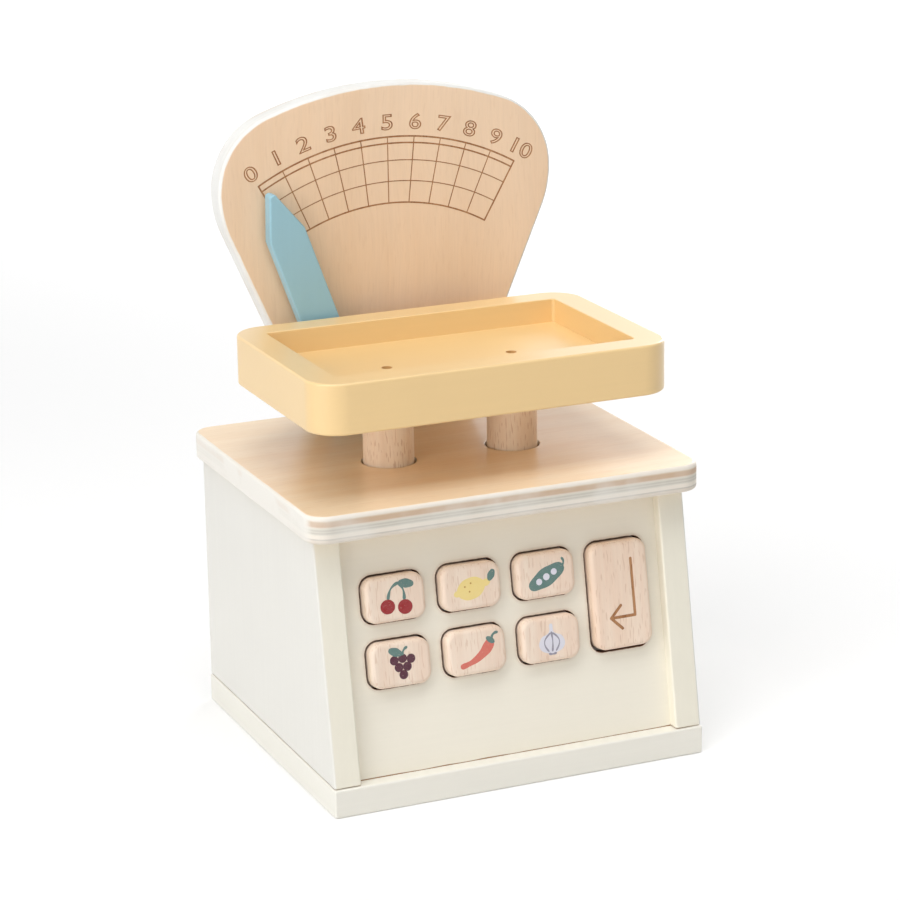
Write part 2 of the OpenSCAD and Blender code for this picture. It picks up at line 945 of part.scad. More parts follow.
module key_1_spring() small_key_spring(0);
module key_2_spring() small_key_spring(1);
module key_3_spring() small_key_spring(2);
module key_4_spring() small_key_spring(3);
module key_5_spring() small_key_spring(4);
module key_6_spring() small_key_spring(5);

module tall_key_springs() {
    for (s = sides)
        on_panel(key_x(tall_column), tall_key_y + s * stem_spread / 2, 0)
            key_coil();
}

base_board();
left_side_panel();
right_side_panel();
front_panel();
rear_panel();
top_board();
dial_board();
guide_board();
key_backing_board();
key_battens();
base_screws();
top_dowels();
dial_screws();
backing_screws();
spring_pegs();
pivot_screw();
pivot_washer();
tray();
left_post();
right_post();
carriage();
drive_plate();
tray_screws();
carriage_screws();
drive_plate_screws();
post_pegs();
pan_springs();
pointer();
crank_pin();
key_1();
key_2();
key_3();
key_4();
key_5();
key_6();
tall_key();
key_1_retainer();
key_2_retainer();
key_3_retainer();
key_4_retainer();
key_5_retainer();
key_6_retainer();
tall_key_retainer();
key_1_spring();
key_2_spring();
key_3_spring();
key_4_spring();
key_5_spring();
key_6_spring();
tall_key_springs();
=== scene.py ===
import math

import bmesh
import bpy
from mathutils import Matrix, Vector


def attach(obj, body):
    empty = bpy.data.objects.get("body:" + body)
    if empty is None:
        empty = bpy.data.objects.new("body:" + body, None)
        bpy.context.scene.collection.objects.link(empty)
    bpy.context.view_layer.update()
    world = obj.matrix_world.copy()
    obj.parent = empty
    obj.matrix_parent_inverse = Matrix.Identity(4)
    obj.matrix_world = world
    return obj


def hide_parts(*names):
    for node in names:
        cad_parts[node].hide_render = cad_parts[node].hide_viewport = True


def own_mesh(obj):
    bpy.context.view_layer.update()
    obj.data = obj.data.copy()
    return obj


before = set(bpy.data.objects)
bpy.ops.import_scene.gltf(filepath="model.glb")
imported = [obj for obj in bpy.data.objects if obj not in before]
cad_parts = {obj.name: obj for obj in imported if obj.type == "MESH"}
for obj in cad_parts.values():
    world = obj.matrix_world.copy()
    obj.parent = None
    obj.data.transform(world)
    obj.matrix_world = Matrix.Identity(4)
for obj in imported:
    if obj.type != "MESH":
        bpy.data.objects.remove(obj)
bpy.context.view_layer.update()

# The base board: 12.5 mm plywood in cream paint, its edges sanded round. Six countersunk
# screws come up through it into the side panels, and two pegs stand in it for the springs.
mm = 0.001
base_w = 171 * mm
base_d = 155.2 * mm
base_top = 12.5 * mm
edge_r = 1.0 * mm
flat_angle = math.radians(0.4)
corner_angle = math.radians(25)
sharp_angle = math.radians(40)
slack, arc_slack = 0.02 * mm, 0.05 * mm


def packed_shape(node):
    """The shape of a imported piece, with its loose triangles joined into whole faces."""
    shape = bmesh.new()
    shape.from_mesh(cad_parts[node].data)
    bmesh.ops.remove_doubles(shape, verts=shape.verts, dist=0.001 * mm)
    bmesh.ops.dissolve_limit(
        shape, angle_limit=flat_angle, verts=shape.verts, edges=shape.edges
    )
    shape.normal_update()
    return shape


def close(a, b):
    return abs(a - b) < slack


def round_off(shape, edges, radius, segments):
    """Turns edges into part of a circle."""
    bmesh.ops.bevel(
        shape,
        geom=edges,
        affect="EDGES",
        offset=radius,
        offset_type="OFFSET",
        segments=segments,
        profile=0.5,
        material=-1,
    )


def sand_round(shape, radius, segments, on_edge):
    """Rounds the sharp edges whose two ends both pass on_edge."""
    picked = [
        e
        for e in shape.edges
        if e.is_manifold
        and e.calc_face_angle(0) > corner_angle
        and all(on_edge(v.co) for v in e.verts)
    ]
    round_off(shape, picked, radius, segments)


def mark_sharp_edges(shape):
    """Keeps an edge sharp where its two faces meet at a clear angle, and the rest smooth."""
    shape.normal_update()
    for edge in shape.edges:
        edge.smooth = edge.calc_face_angle(0) < sharp_angle
    for face in shape.faces:
        face.smooth = True


def put_in_scene(name, data):
    """A new object in the scene."""
    made = bpy.data.objects.new(name, data)
    bpy.context.scene.collection.objects.link(made)
    return made


def set_piece(name, shape, body, slot, finishes, *stands_for):
    """Makes a shape a named piece on its body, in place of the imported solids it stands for."""
    mesh = bpy.data.meshes.new(name)
    mark_sharp_edges(shape)
    shape.to_mesh(mesh)
    shape.free()
    for finish in finishes:
        mesh.materials.append(finish)
    piece = put_in_scene(name, mesh)
    even = piece.modifiers.new("even_shading", "WEIGHTED_NORMAL")
    even.keep_sharp = True
    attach(piece, body)
    if stands_for:
        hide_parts(*stands_for)
    return piece


def set_sanded(name, node, body, slot, finish, *rounds):
    """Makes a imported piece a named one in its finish, with its edges sanded round."""
    shape = packed_shape(node)
    for radius, segments, on_edge in rounds:
        sand_round(shape, radius, segments, on_edge)
    return set_piece(name, shape, body, slot, [finish], node)


def tone(red, green, blue):
    """A colour as the eye reads it, 0 to 255, in the light values that a shader takes."""
    parts = [c / 255 for c in (red, green, blue)]
    return (*[((c + 0.055) / 1.055) ** 2.4 if c > 0.04 else c / 12.92 for c in parts], 1.0)


def give(socket, value):
    """Gives a socket a plain value, or leads another node's socket into it."""
    if isinstance(value, bpy.types.NodeSocket):
        socket.id_data.links.new(value, socket)
    else:
        socket.default_value = value


def set_inputs(node, inputs):
    for key, value in inputs.items():
        give(node.inputs[key], value)


def place(tree, kind, inputs=None, **settings):
    """Puts one node in a shader tree. Its inputs are plain values or other nodes' sockets."""
    made = tree.nodes.new(kind)
    for key, value in settings.items():
        setattr(made, key, value)
    set_inputs(made, inputs or {})
    return made


def reckon(tree, operation, *values):
    """One sum on numbers."""
    made = place(tree, "ShaderNodeMath", dict(enumerate(values)), operation=operation)
    return made.outputs[0]


def reckon_place(tree, operation, *values):
    """One sum on places or directions."""
    made = place(tree, "ShaderNodeVectorMath", dict(enumerate(values)), operation=operation)
    return made.outputs["Value" if operation == "LENGTH" else "Vector"]


def coordinate(tree, spot, axis):
    """How far a place lies along one axis."""
    return place(tree, "ShaderNodeSeparateXYZ", {0: spot}).outputs[axis]


def fade(tree, value, start, end):
    """A mask that rises from 0 to 1 as the value goes from start to end."""
    made = place(
        tree,
        "ShaderNodeMapRange",
        {"Value": value, "From Min": start, "From Max": end},
        interpolation_type="SMOOTHSTEP",
    )
    return made.outputs["Result"]


def over(tree, mask, under, top):
    """Lays one colour over another through a mask."""
    made = place(tree, "ShaderNodeMix", {0: mask, 6: under, 7: top}, data_type="RGBA")
    return made.outputs[2]


def dim(tree, colour, shade):
    """A colour made darker or lighter by a factor."""
    made = place(tree, "ShaderNodeVectorMath", {0: colour, 3: shade}, operation="SCALE")
    return made.outputs[0]


def stretch(tree, vector, sizes):
    """A pattern's place, drawn out along the directions whose size is under 1."""
    return reckon_place(tree, "MULTIPLY", vector, sizes)


def cloud(tree, vector, scale, detail=2.0, roughness=0.5, distortion=0.0):
    """A noise value round 0.5."""
    made = place(
        tree,
        "ShaderNodeTexNoise",
        {
            "Vector": vector,
            "Scale": scale,
            "Detail": detail,
            "Roughness": roughness,
            "Distortion": distortion,
        },
    )
    return made.outputs["Fac"]


def new_group(name, wanted, given):
    """A shader group with named sockets, and its two ends."""
    tree = bpy.data.node_groups.new(name, "ShaderNodeTree")
    for label, kind, value in wanted:
        socket = tree.interface.new_socket(label, in_out="INPUT", socket_type="NodeSocket" + kind)
        if value is not None:
            socket.default_value = value
    for label, kind in given:
        tree.interface.new_socket(label, in_out="OUTPUT", socket_type="NodeSocket" + kind)
    ends = tree.nodes.new("NodeGroupInput").outputs, tree.nodes.new("NodeGroupOutput").inputs
    return tree, *ends


# Paint on wood: a roller's fine stipple, faint ridges of the grain below, and slow clouds
paint_skin, paint_in, paint_out = new_group(
    "paint_on_wood",
    [
        ("Vector", "Vector", None),
        ("Color", "Color", (0.8, 0.8, 0.8, 1)),
        ("Grain", "Float", 0.5),
        ("Gloss", "Float", 0.5),
    ],
    [("Color", "Color"), ("Roughness", "Float"), ("Height", "Float")],
)
stipple = cloud(paint_skin, paint_in["Vector"], 1500, 2)
ridges = cloud(paint_skin, stretch(paint_skin, paint_in["Vector"], (0.025, 1, 1)), 620, 3, 0.6)
slow = cloud(paint_skin, paint_in["Vector"], 17, 2)
ridge_share = reckon(paint_skin, "MULTIPLY", paint_in["Grain"], 0.09)
ridge_tone = reckon(
    paint_skin, "MULTIPLY", reckon(paint_skin, "SUBTRACT", ridges, 0.5), ridge_share
)
slow_tone = reckon(paint_skin, "MULTIPLY_ADD", slow, 0.05, 0.975)
paint_shade = reckon(paint_skin, "ADD", slow_tone, ridge_tone)
give(paint_out["Color"], dim(paint_skin, paint_in["Color"], paint_shade))
give(
    paint_out["Roughness"], reckon(paint_skin, "MULTIPLY_ADD", stipple, 0.16, paint_in["Gloss"])
)
ridge_rise = reckon(paint_skin, "MULTIPLY", ridges, paint_in["Grain"])
give(paint_out["Height"], reckon(paint_skin, "MULTIPLY_ADD", stipple, 0.35, ridge_rise))


def new_finish(name):
    """A material, its shader tree and its surface."""
    finish = bpy.data.materials.new(name)
    finish.use_nodes = True
    tree = finish.node_tree
    return finish, tree, tree.nodes["Principled BSDF"]


def object_place(tree, turn=(0, 0, 0), centre=(0, 0, 0)):
    """Where a point lies on the object, seen from a centre and in turned directions."""
    coordinates = place(tree, "ShaderNodeTexCoord")
    placed = place(
        tree,
        "ShaderNodeMapping",
        {"Vector": coordinates.outputs["Object"], "Location": centre, "Rotation": turn},
        vector_type="TEXTURE",
    )
    return placed.outputs[0]


def raise_surface(tree, surface, height, depth, strength=1.0):
    """Gives a surface its fine relief."""
    relief = place(
        tree, "ShaderNodeBump", {"Height": height, "Distance": depth, "Strength": strength}
    )
    give(surface.inputs["Normal"], relief.outputs["Normal"])


def use_group(tree, group, **values):
    """One use of a shader group, with its own values."""
    made = place(tree, "ShaderNodeGroup", node_tree=group)
    set_inputs(made, {key.replace("_", " "): value for key, value in values.items()})
    return made.outputs


def lay_paint(tree, surface, skin, colour, coat=0.3, coat_roughness=0.35):
    """Gives a surface its paint, with a clear gloss over it."""
    paint = {"Base Color": colour, "Roughness": skin["Roughness"], "Specular IOR Level": 0.35}
    set_inputs(surface, {**paint, "Coat Weight": coat, "Coat Roughness": coat_roughness})
    raise_surface(tree, surface, skin["Height"], 0.05 * mm, 0.6)


def wood_paint(name, colour, grain, gloss, turn):
    """A coat of paint whose grain runs along the turned X."""
    finish, tree, surface = new_finish(name)
    skin = use_group(
        tree, paint_skin, Vector=object_place(tree, turn), Color=colour, Grain=grain, Gloss=gloss
    )
    lay_paint(tree, surface, skin, skin["Color"])
    return finish


cream = tone(238, 235, 225)
along_x = (0, 0, 0)
along_z = (0, -math.pi / 2, 0)
cream_board = wood_paint("cream_paint_across", cream, 0.5, 0.42, along_x)


def on_base_box(point):
    sides = [
        close(abs(point.x), base_w / 2),
        close(abs(point.y), base_d / 2),
        close(point.z, 0) or close(point.z, base_top),
    ]
    return sum(sides) >= 2


base_rounds = (edge_r, 3, on_base_box)
set_sanded(
    "base_board_painted", "base_board", "cabinet", "cream_paint", cream_board, base_rounds
)

# The two side panels: 12 mm plywood in cream paint, sawn with a sloping front edge, screwed
# to the base and grooved inside for the guide board.
cabinet_top = 116.5 * mm
side_x = 85.1 * mm
inner_x = 73.1 * mm
back_y = 77.6 * mm
front_low_y = -76.7 * mm
front_lean = 18.7 * mm
lean = math.atan(front_lean / (cabinet_top - base_top))


def foot_seam(tree, spot, painted_tone):
    """Brown glue and bare wood that shows here and there where a panel meets the base."""
    rag = cloud(tree, spot, 60, 3)
    height = reckon(tree, "SUBTRACT", coordinate(tree, spot, "Z"), base_top)
    ragged = reckon(tree, "MULTIPLY_ADD", rag, -0.9 * mm, height)
    line = fade(tree, ragged, 0.05 * mm, -0.25 * mm)
    return over(tree, line, painted_tone, tone(150, 112, 72))


side_paint, side_tree, side_surface = new_finish("cream_paint_side")
side_spot = object_place(side_tree)
from_middle = reckon(side_tree, "ABSOLUTE", coordinate(side_tree, side_spot, "X"))
# The outer faces get a darker, cooler cream than the edges and inner faces: painted shade and a
# painted cool tint of light on what is one paint.
outside = fade(side_tree, from_middle, side_x - 1.2 * mm, side_x - 0.3 * mm)
side_skin = use_group(
    side_tree,
    paint_skin,
    Vector=object_place(side_tree, along_z),
    Color=over(side_tree, outside, tone(238, 233, 217), tone(229, 227, 220)),
    Grain=0.5,
    Gloss=0.4,
)
seamed = foot_seam(side_tree, side_spot, side_skin["Color"])
lay_paint(side_tree, side_surface, side_skin, seamed)


def front_edge_y(z):
    return front_low_y + (z - base_top) * math.tan(lean)


def on_side_outline(point):
    on_face = close(abs(point.x), side_x) or close(abs(point.x), inner_x)
    on_border = (
        close(point.z, base_top)
        or close(point.z, cabinet_top)
        or close(point.y, back_y)
        or close(point.y, front_edge_y(point.z))
    )
    return on_face and on_border


side_rounds = (edge_r, 3, on_side_outline)
for side in ("left", "right"):
    node = side + "_side_panel"
    set_sanded(side + "_side_painted", node, "cabinet", "cream_paint", side_paint, side_rounds)

# The front panel: 6 mm plywood in cream paint, set back between the side panels. A laser cut
# its seven key holes and left their walls burnt, with a faint scorch on the paint around.
panel_low_y = -71.4 * mm
lower_row, upper_row, tall_row = 47.2 * mm, 74.8 * mm, 61.0 * mm
columns = (-50.6 * mm, -16.2 * mm, 18.2 * mm, 52.6 * mm)
hole_w, hole_h, tall_hole_h = 28.2 * mm, 20.6 * mm, 48.2 * mm
hole_r, hole_edge_r = 5.6 * mm, 0.3 * mm
holes_low, holes_high = 20 * mm, 100 * mm
panel_turn = (math.pi / 2 - lean, 0, 0)
panel_origin = (0, panel_low_y, base_top)
on_panel = Matrix.Translation(panel_origin) @ Matrix.Rotation(panel_turn[0], 4, "X")
to_panel = on_panel.inverted()

# The mark that heat leaves round a hole with rounded corners
scorch, scorch_in, scorch_out = new_group(
    "scorch_round_a_hole",
    [
        ("Vector", "Vector", None),
        ("Centre", "Vector", (0, 0, 0)),
        ("Half", "Vector", (0, 0, 0)),
        ("Corner", "Float", 0.005),
    ],
    [("Distance", "Float")],
)
from_centre = reckon_place(scorch, "SUBTRACT", scorch_in["Vector"], scorch_in["Centre"])
unsigned = reckon_place(scorch, "ABSOLUTE", from_centre)
past_sides = reckon_place(scorch, "SUBTRACT", unsigned, scorch_in["Half"])
beyond = reckon_place(scorch, "MAXIMUM", past_sides, (0, 0, 0))
reach = reckon_place(scorch, "LENGTH", stretch(scorch, beyond, (1, 1, 0)))
give(scorch_out["Distance"], reckon(scorch, "SUBTRACT", reach, scorch_in["Corner"]))

front_paint, front_tree, front_surface = new_finish("cream_paint_front")
front_place = object_place(front_tree, panel_turn, panel_origin)
front_skin = use_group(
    front_tree, paint_skin, Vector=front_place, Color=tone(243, 237, 222), Grain=0.4, Gloss=0.42
)
key_holes = [(x, y, hole_h) for y in (upper_row, lower_row) for x in columns[:3]]
key_holes.append((columns[3], tall_row, tall_hole_h))
nearest = None
for x, y, height in key_holes:
    distance = use_group(
        front_tree,
        scorch,
        Vector=front_place,
        Centre=(x, y, 0),
        Half=(hole_w / 2 - hole_r, height / 2 - hole_r, 0),
        Corner=hole_r,
    )["Distance"]
    nearest = distance if nearest is None else reckon(front_tree, "MINIMUM", nearest, distance)
ragged = reckon(
    front_tree,
    "MULTIPLY_ADD",
    cloud(front_tree, front_place, 420, 3),
    -0.5 * mm,
    reckon(front_tree, "ADD", nearest, 0.25 * mm),
)
halo = reckon(front_tree, "MULTIPLY", fade(front_tree, ragged, 1.9 * mm, 0.1 * mm), 0.22)
burnt = fade(front_tree, ragged, 0.36 * mm, 0.16 * mm)
haloed = over(front_tree, halo, front_skin["Color"], tone(150, 104, 66))
scorched = over(front_tree, burnt, haloed, tone(104, 60, 30))
seamed = foot_seam(front_tree, object_place(front_tree), scorched)
lay_paint(front_tree, front_surface, front_skin, seamed, coat=0)


def on_hole_rim(point):
    place_on_panel = to_panel @ point
    inside = abs(point.x) < inner_x - 2 * mm and holes_low < place_on_panel.y < holes_high
    return inside and close(place_on_panel.z, 0)


hole_rounds = (hole_edge_r, 2, on_hole_rim)
set_sanded(
    "front_panel_painted", "front_panel", "cabinet", "cream_paint", front_paint, hole_rounds
)

# The rear panel: 6 mm plywood in cream paint between the side panels, with four screws into
# the dial's tail.
rear_y = 71.6 * mm
thin_edge_r = 0.4 * mm


def on_rear_outline(point):
    on_face = close(point.y, back_y)
    return on_face and (close(abs(point.x), inner_x) or close(point.z, cabinet_top))


rear_rounds = (thin_edge_r, 2, on_rear_outline)
set_sanded(
    "rear_panel_painted", "rear_panel", "cabinet", "cream_paint", cream_board, rear_rounds
)

# The top board: 12 mm birch plywood, its faces sanded and clear varnished, its edges
# whitewashed so that the layers still show. Two holes let the posts through, and a slot at
# the back holds the dial's tail and lets the pointer swing.
board_top = 128.5 * mm
top_half_w = 89.7 * mm
top_front_y, top_back_y = -69.6 * mm, 80.0 * mm
top_corner_r, top_edge_r = 9.5 * mm, 1.6 * mm
post_x = 29.1 * mm
pan_y = -5.5 * mm
post_hole_r = 12 * mm
slot_half_w = 34.05 * mm
slot_front_y = 49.6 * mm

# Sanded wood: blotches, slow bands, fine fibre lines and short dark flecks, all along the
# given X
sanded, sanded_in, sanded_out = new_group(
    "sanded_wood",
    [
        ("Vector", "Vector", None),
        ("Light", "Color", (0.8, 0.6, 0.4, 1)),
        ("Dark", "Color", (0.6, 0.4, 0.3, 1)),
        ("Fleck", "Color", (0.3, 0.2, 0.1, 1)),
        ("Bands", "Float", 90),
        ("Flecks", "Float", 0.3),
        ("Fleck size", "Float", 650),
    ],
    [("Color", "Color"), ("Height", "Float")],
)
drift = place(
    sanded, "ShaderNodeTexNoise", {"Vector": sanded_in["Vector"], "Scale": 16, "Detail": 1}
)
drift_step = dim(sanded, drift.outputs["Color"], 7 * mm)
waved = reckon_place(sanded, "ADD", sanded_in["Vector"], drift_step)
band = cloud(sanded, stretch(sanded, waved, (0.07, 1, 1)), sanded_in["Bands"], 5, 0.6, 0.3)
fibre = cloud(sanded, stretch(sanded, waved, (0.03, 1, 1)), 1300, 2, 0.6)
dash = cloud(sanded, stretch(sanded, waved, (0.13, 1, 1)), sanded_in["Fleck size"], 0)
dashes = reckon(sanded, "MULTIPLY", fade(sanded, dash, 0.64, 0.74), sanded_in["Flecks"])
banded = over(sanded, fade(sanded, band, 0.34, 0.68), sanded_in["Light"], sanded_in["Dark"])
blotch = cloud(sanded, stretch(sanded, waved, (0.4, 1, 1)), 30, 3)
blotch_shade = reckon(sanded, "MULTIPLY_ADD", blotch, 0.16, 0.87)
wood_shade = reckon(sanded, "MULTIPLY_ADD", fibre, 0.1, blotch_shade)
lined = dim(sanded, banded, wood_shade)
give(sanded_out["Color"], over(sanded, dashes, lined, sanded_in["Fleck"]))
dash_depth = reckon(sanded, "MULTIPLY", dashes, -0.8)
give(sanded_out["Height"], reckon(sanded, "MULTIPLY_ADD", fibre, 0.6, dash_depth))

# The sawn edge of plywood, from its lower face to its upper: veneers with grey glue lines
# between them, one of them tan where the whitewash didn't take, and paint over it all
layers, layers_in, layers_out = new_group(
    "plywood_edge",
    [
        ("Vector", "Vector", None),
        ("Across", "Float", 0.5),
        ("Paint", "Color", (0.9, 0.9, 0.9, 1)),
        ("Cover", "Float", 0.3),
    ],
    [("Color", "Color"), ("Height", "Float")],
)
veneer, pale_veneer, cool_veneer = tone(224, 213, 199), tone(236, 227, 214), tone(216, 211, 198)
tan_veneer, glue = tone(204, 174, 144), tone(198, 190, 178)
veneer_edges = [
    (0.0, veneer),
    (0.15, veneer),
    (0.19, glue),
    (0.23, pale_veneer),
    (0.33, pale_veneer),
    (0.38, cool_veneer),
    (0.42, glue),
    (0.46, cool_veneer),
    (0.52, glue),
    (0.56, cool_veneer),
    (0.61, veneer),
    (0.66, tan_veneer),
    (0.8, tan_veneer),
    (0.87, pale_veneer),
]
waver = reckon(
    layers,
    "MULTIPLY_ADD",
    cloud(layers, layers_in["Vector"], 22, 2),
    0.04,
    reckon(layers, "SUBTRACT", layers_in["Across"], 0.02),
)
veneers = place(layers, "ShaderNodeValToRGB", {"Fac": waver})
for step, (at, look) in enumerate(veneer_edges):
    mark = veneers.color_ramp.elements[step] if step < 2 else veneers.color_ramp.elements.new(at)
    mark.position, mark.color = at, look
pores = cloud(layers, stretch(layers, layers_in["Vector"], (0.2, 1, 1)), 1500, 2, 0.7)
washed_away = fade(layers, cloud(layers, layers_in["Vector"], 45, 3), 0.32, 0.62)
wash_left = reckon(layers, "SUBTRACT", 1.0, washed_away)
wash = reckon(layers, "MULTIPLY_ADD", wash_left, 0.45, layers_in["Cover"])
covered = reckon(layers, "MINIMUM", wash, 1.0)
whitened = over(layers, covered, veneers.outputs["Color"], layers_in["Paint"])
pore_shade = reckon(layers, "MULTIPLY_ADD", pores, 0.08, 0.96)
give(layers_out["Color"], dim(layers, whitened, pore_shade))
relief_tone = place(layers, "ShaderNodeRGBToBW", {"Color": whitened}).outputs[0]
give(layers_out["Height"], reckon(layers, "MULTIPLY_ADD", pores, 0.2, relief_tone))


def wood_look(light, dark, fleck, bands, flecks, fleck_size):
    """A wood's tones, and how close its bands and flecks lie."""
    return {
        "Light": tone(*light),
        "Dark": tone(*dark),
        "Fleck": tone(*fleck),
        "Bands": bands,
        "Flecks": flecks,
        "Fleck_size": fleck_size,
    }


def edged_wood(name, turn, axis, low, high, wood, paint, cover, varnish):
    """Varnished faces at the low and high end of an axis, and whitewashed edges between."""
    finish, tree, surface = new_finish(name)
    spot = object_place(tree)
    face = use_group(tree, sanded, Vector=object_place(tree, turn), **wood)
    depth = reckon(tree, "SUBTRACT", coordinate(tree, spot, axis), low)
    across = reckon(tree, "DIVIDE", depth, high - low)
    from_middle = reckon(tree, "ABSOLUTE", coordinate(tree, spot, "X"))
    # The edges at either end of X come out whiter, with fainter layers.
    at_side = fade(tree, from_middle, top_half_w - 2 * mm, top_half_w)
    whiter_at_side_edges = reckon(tree, "MULTIPLY_ADD", at_side, 0.8, cover)
    sawn = use_group(tree, layers, Vector=spot, Across=across, Paint=paint, Cover=whiter_at_side_edges)
    into = reckon(tree, "MINIMUM", depth, reckon(tree, "SUBTRACT", high - low, depth))
    rag = reckon(tree, "MULTIPLY_ADD", cloud(tree, spot, 160, 2), 0.16 * mm, into)
    edge_mask = fade(tree, rag, 0.14 * mm, 0.24 * mm)
    bare = reckon(tree, "SUBTRACT", 1.0, edge_mask)
    looks = {
        "Base Color": over(tree, edge_mask, face["Color"], sawn["Color"]),
        "Roughness": reckon(tree, "MULTIPLY_ADD", edge_mask, 0.1, 0.42),
        "Coat Weight": reckon(tree, "MULTIPLY", bare, varnish),
        "Coat Roughness": 0.2,
    }
    set_inputs(surface, looks)
    height = place(
        tree,
        "ShaderNodeMix",
        {0: edge_mask, 2: face["Height"], 3: sawn["Height"]},
        data_type="FLOAT",
    ).outputs[0]
    raise_surface(tree, surface, height, 0.08 * mm, 0.5)
    return finish


top_finish = edged_wood(
    "varnished_birch_top",
    turn=along_x,
    axis="Z",
    low=cabinet_top,
    high=board_top,
    wood=wood_look((246, 223, 190), (240, 211, 172), (204, 160, 118), 50, 0.1, 1100),
    paint=tone(238, 234, 226),
    cover=0.05,
    varnish=0.6,
)


def border_distance(x, y, half_w, half_d, corner):
    """How far a point lies outside a rectangle with rounded corners."""
    out_x, out_y = abs(x) - half_w + corner, abs(y) - half_d + corner
    return math.hypot(max(out_x, 0), max(out_y, 0)) + min(max(out_x, out_y), 0) - corner


def on_top_border(point):
    middle_y = (top_back_y + top_front_y) / 2
    half_d = (top_back_y - top_front_y) / 2
    away = border_distance(point.x, point.y - middle_y, top_half_w, half_d, top_corner_r)
    return abs(away) < arc_slack


def on_top_openings(point):
    if not close(point.z, board_top):
        return False
    from_post = math.hypot(abs(point.x) - post_x, point.y - pan_y)
    in_slot = (
        close(abs(point.x), slot_half_w) and slot_front_y - mm < point.y < rear_y + mm
    ) or (close(point.y, slot_front_y) and abs(point.x) < slot_half_w + mm)
    return abs(from_post - post_hole_r) < arc_slack or in_slot


set_sanded(
    "top_board_birch",
    "top_board",
    "cabinet",
    "birch_plywood",
    top_finish,
    (top_edge_r, 4, on_top_border),
    (thin_edge_r, 2, on_top_openings),
)

# The dial: 12 mm birch plywood sawn to a fan, its faces varnished and its edge painted white.
# A laser engraved the scale into its front, which leaves brown grooves with plain numbers.
dial_front_y, dial_back_y = 59.6 * mm, 71.6 * mm
dial_edge_r = 1.7 * mm
dial_finish = edged_wood(
    "varnished_birch_dial",
    turn=along_z,
    axis="Y",
    low=dial_front_y,
    high=dial_back_y,
    wood=wood_look((239, 211, 181), (235, 204, 171), (210, 172, 136), 30, 0.1, 1100),
    paint=tone(236, 235, 231),
    cover=0.8,
    varnish=0.1,
)

scale_burn, burn_tree, burn_surface = new_finish("engraved_burn")
charred = wood_look((186, 138, 98), (160, 110, 74), (130, 84, 52), 300, 0.5, 1500)
burn_wood = use_group(burn_tree, sanded, Vector=object_place(burn_tree, along_z), **charred)
burnt_looks = {"Base Color": burn_wood["Color"], "Roughness": 0.8, "Specular IOR Level": 0.2}
set_inputs(burn_surface, burnt_looks)
raise_surface(burn_tree, burn_surface, burn_wood["Height"], 0.1 * mm, 0.6)

scale_centre_z = 133.6 * mm
scale_half_angle = math.radians(30)
scale_inner_r, scale_outer_r = 92.2 * mm, 121.8 * mm
number_r, number_size, number_line = 125.1 * mm, 9.6 * mm, 0.48 * mm
last_mark = 10
bold_w, middle_w, mark_w, fine_w = 0.75 * mm, 0.7 * mm, 0.5 * mm, 0.45 * mm
groove_depth, mark_depth = 0.14 * mm, 0.11 * mm
on_dial = Matrix.Translation((0, dial_front_y, 0)) @ Matrix.Rotation(math.pi / 2, 4, "X")


def add_shape(whole, shape):
    """Joins one shape into another."""
    joined = bpy.data.meshes.new("joined")
    shape.to_mesh(joined)
    shape.free()
    whole.from_mesh(joined)
    bpy.data.meshes.remove(joined)


def add_groove(cutter, start, end, width, depth, on_face):
    """A straight groove with round ends, from start to end in the face's own plane."""
    start, end = Vector(start), Vector(end)
    middle, run = (start + end) / 2, end - start
    turned = Matrix.Rotation(math.atan2(run.y, run.x), 4, "Z")
    size = Matrix.Diagonal((run.length, width, 2 * depth, 1))
    at_middle = Matrix.Translation((middle.x, middle.y, 0))
    bmesh.ops.create_cube(cutter, size=1, matrix=on_face @ at_middle @ turned @ size)
    for stop in (start, end):
        bmesh.ops.create_cone(
            cutter,
            cap_ends=True,
            segments=12,
            radius1=width / 2,
            radius2=width / 2,
            depth=2 * depth,
            matrix=on_face @ Matrix.Translation((stop.x, stop.y, 0)),
        )


def add_arc_groove(cutter, radius, width):
    """A groove along an arc of the scale, swept round the arc's centre."""
    sweep = bmesh.new()
    first = Matrix.Rotation(-scale_half_angle, 4, "Y") @ Matrix.Translation((0, 0, radius))
    flat = Matrix.Diagonal((1, 2 * groove_depth, width, 1))
    across = Matrix.Rotation(math.pi / 2, 4, "Y")
    bmesh.ops.create_grid(
        sweep, x_segments=1, y_segments=1, size=0.5, matrix=first @ flat @ across
    )
    bmesh.ops.spin(
        sweep,
        geom=sweep.verts[:] + sweep.edges[:] + sweep.faces[:],
        cent=(0, 0, 0),
        axis=(0, 1, 0),
        angle=2 * scale_half_angle,
        steps=60,
    )
    ends = [e for e in sweep.edges if e.is_boundary]
    bmesh.ops.holes_fill(sweep, edges=ends, sides=4)
    bmesh.ops.recalc_face_normals(sweep, faces=sweep.faces)
    bmesh.ops.translate(sweep, vec=(0, dial_front_y, scale_centre_z), verts=sweep.verts)
    add_shape(cutter, sweep)


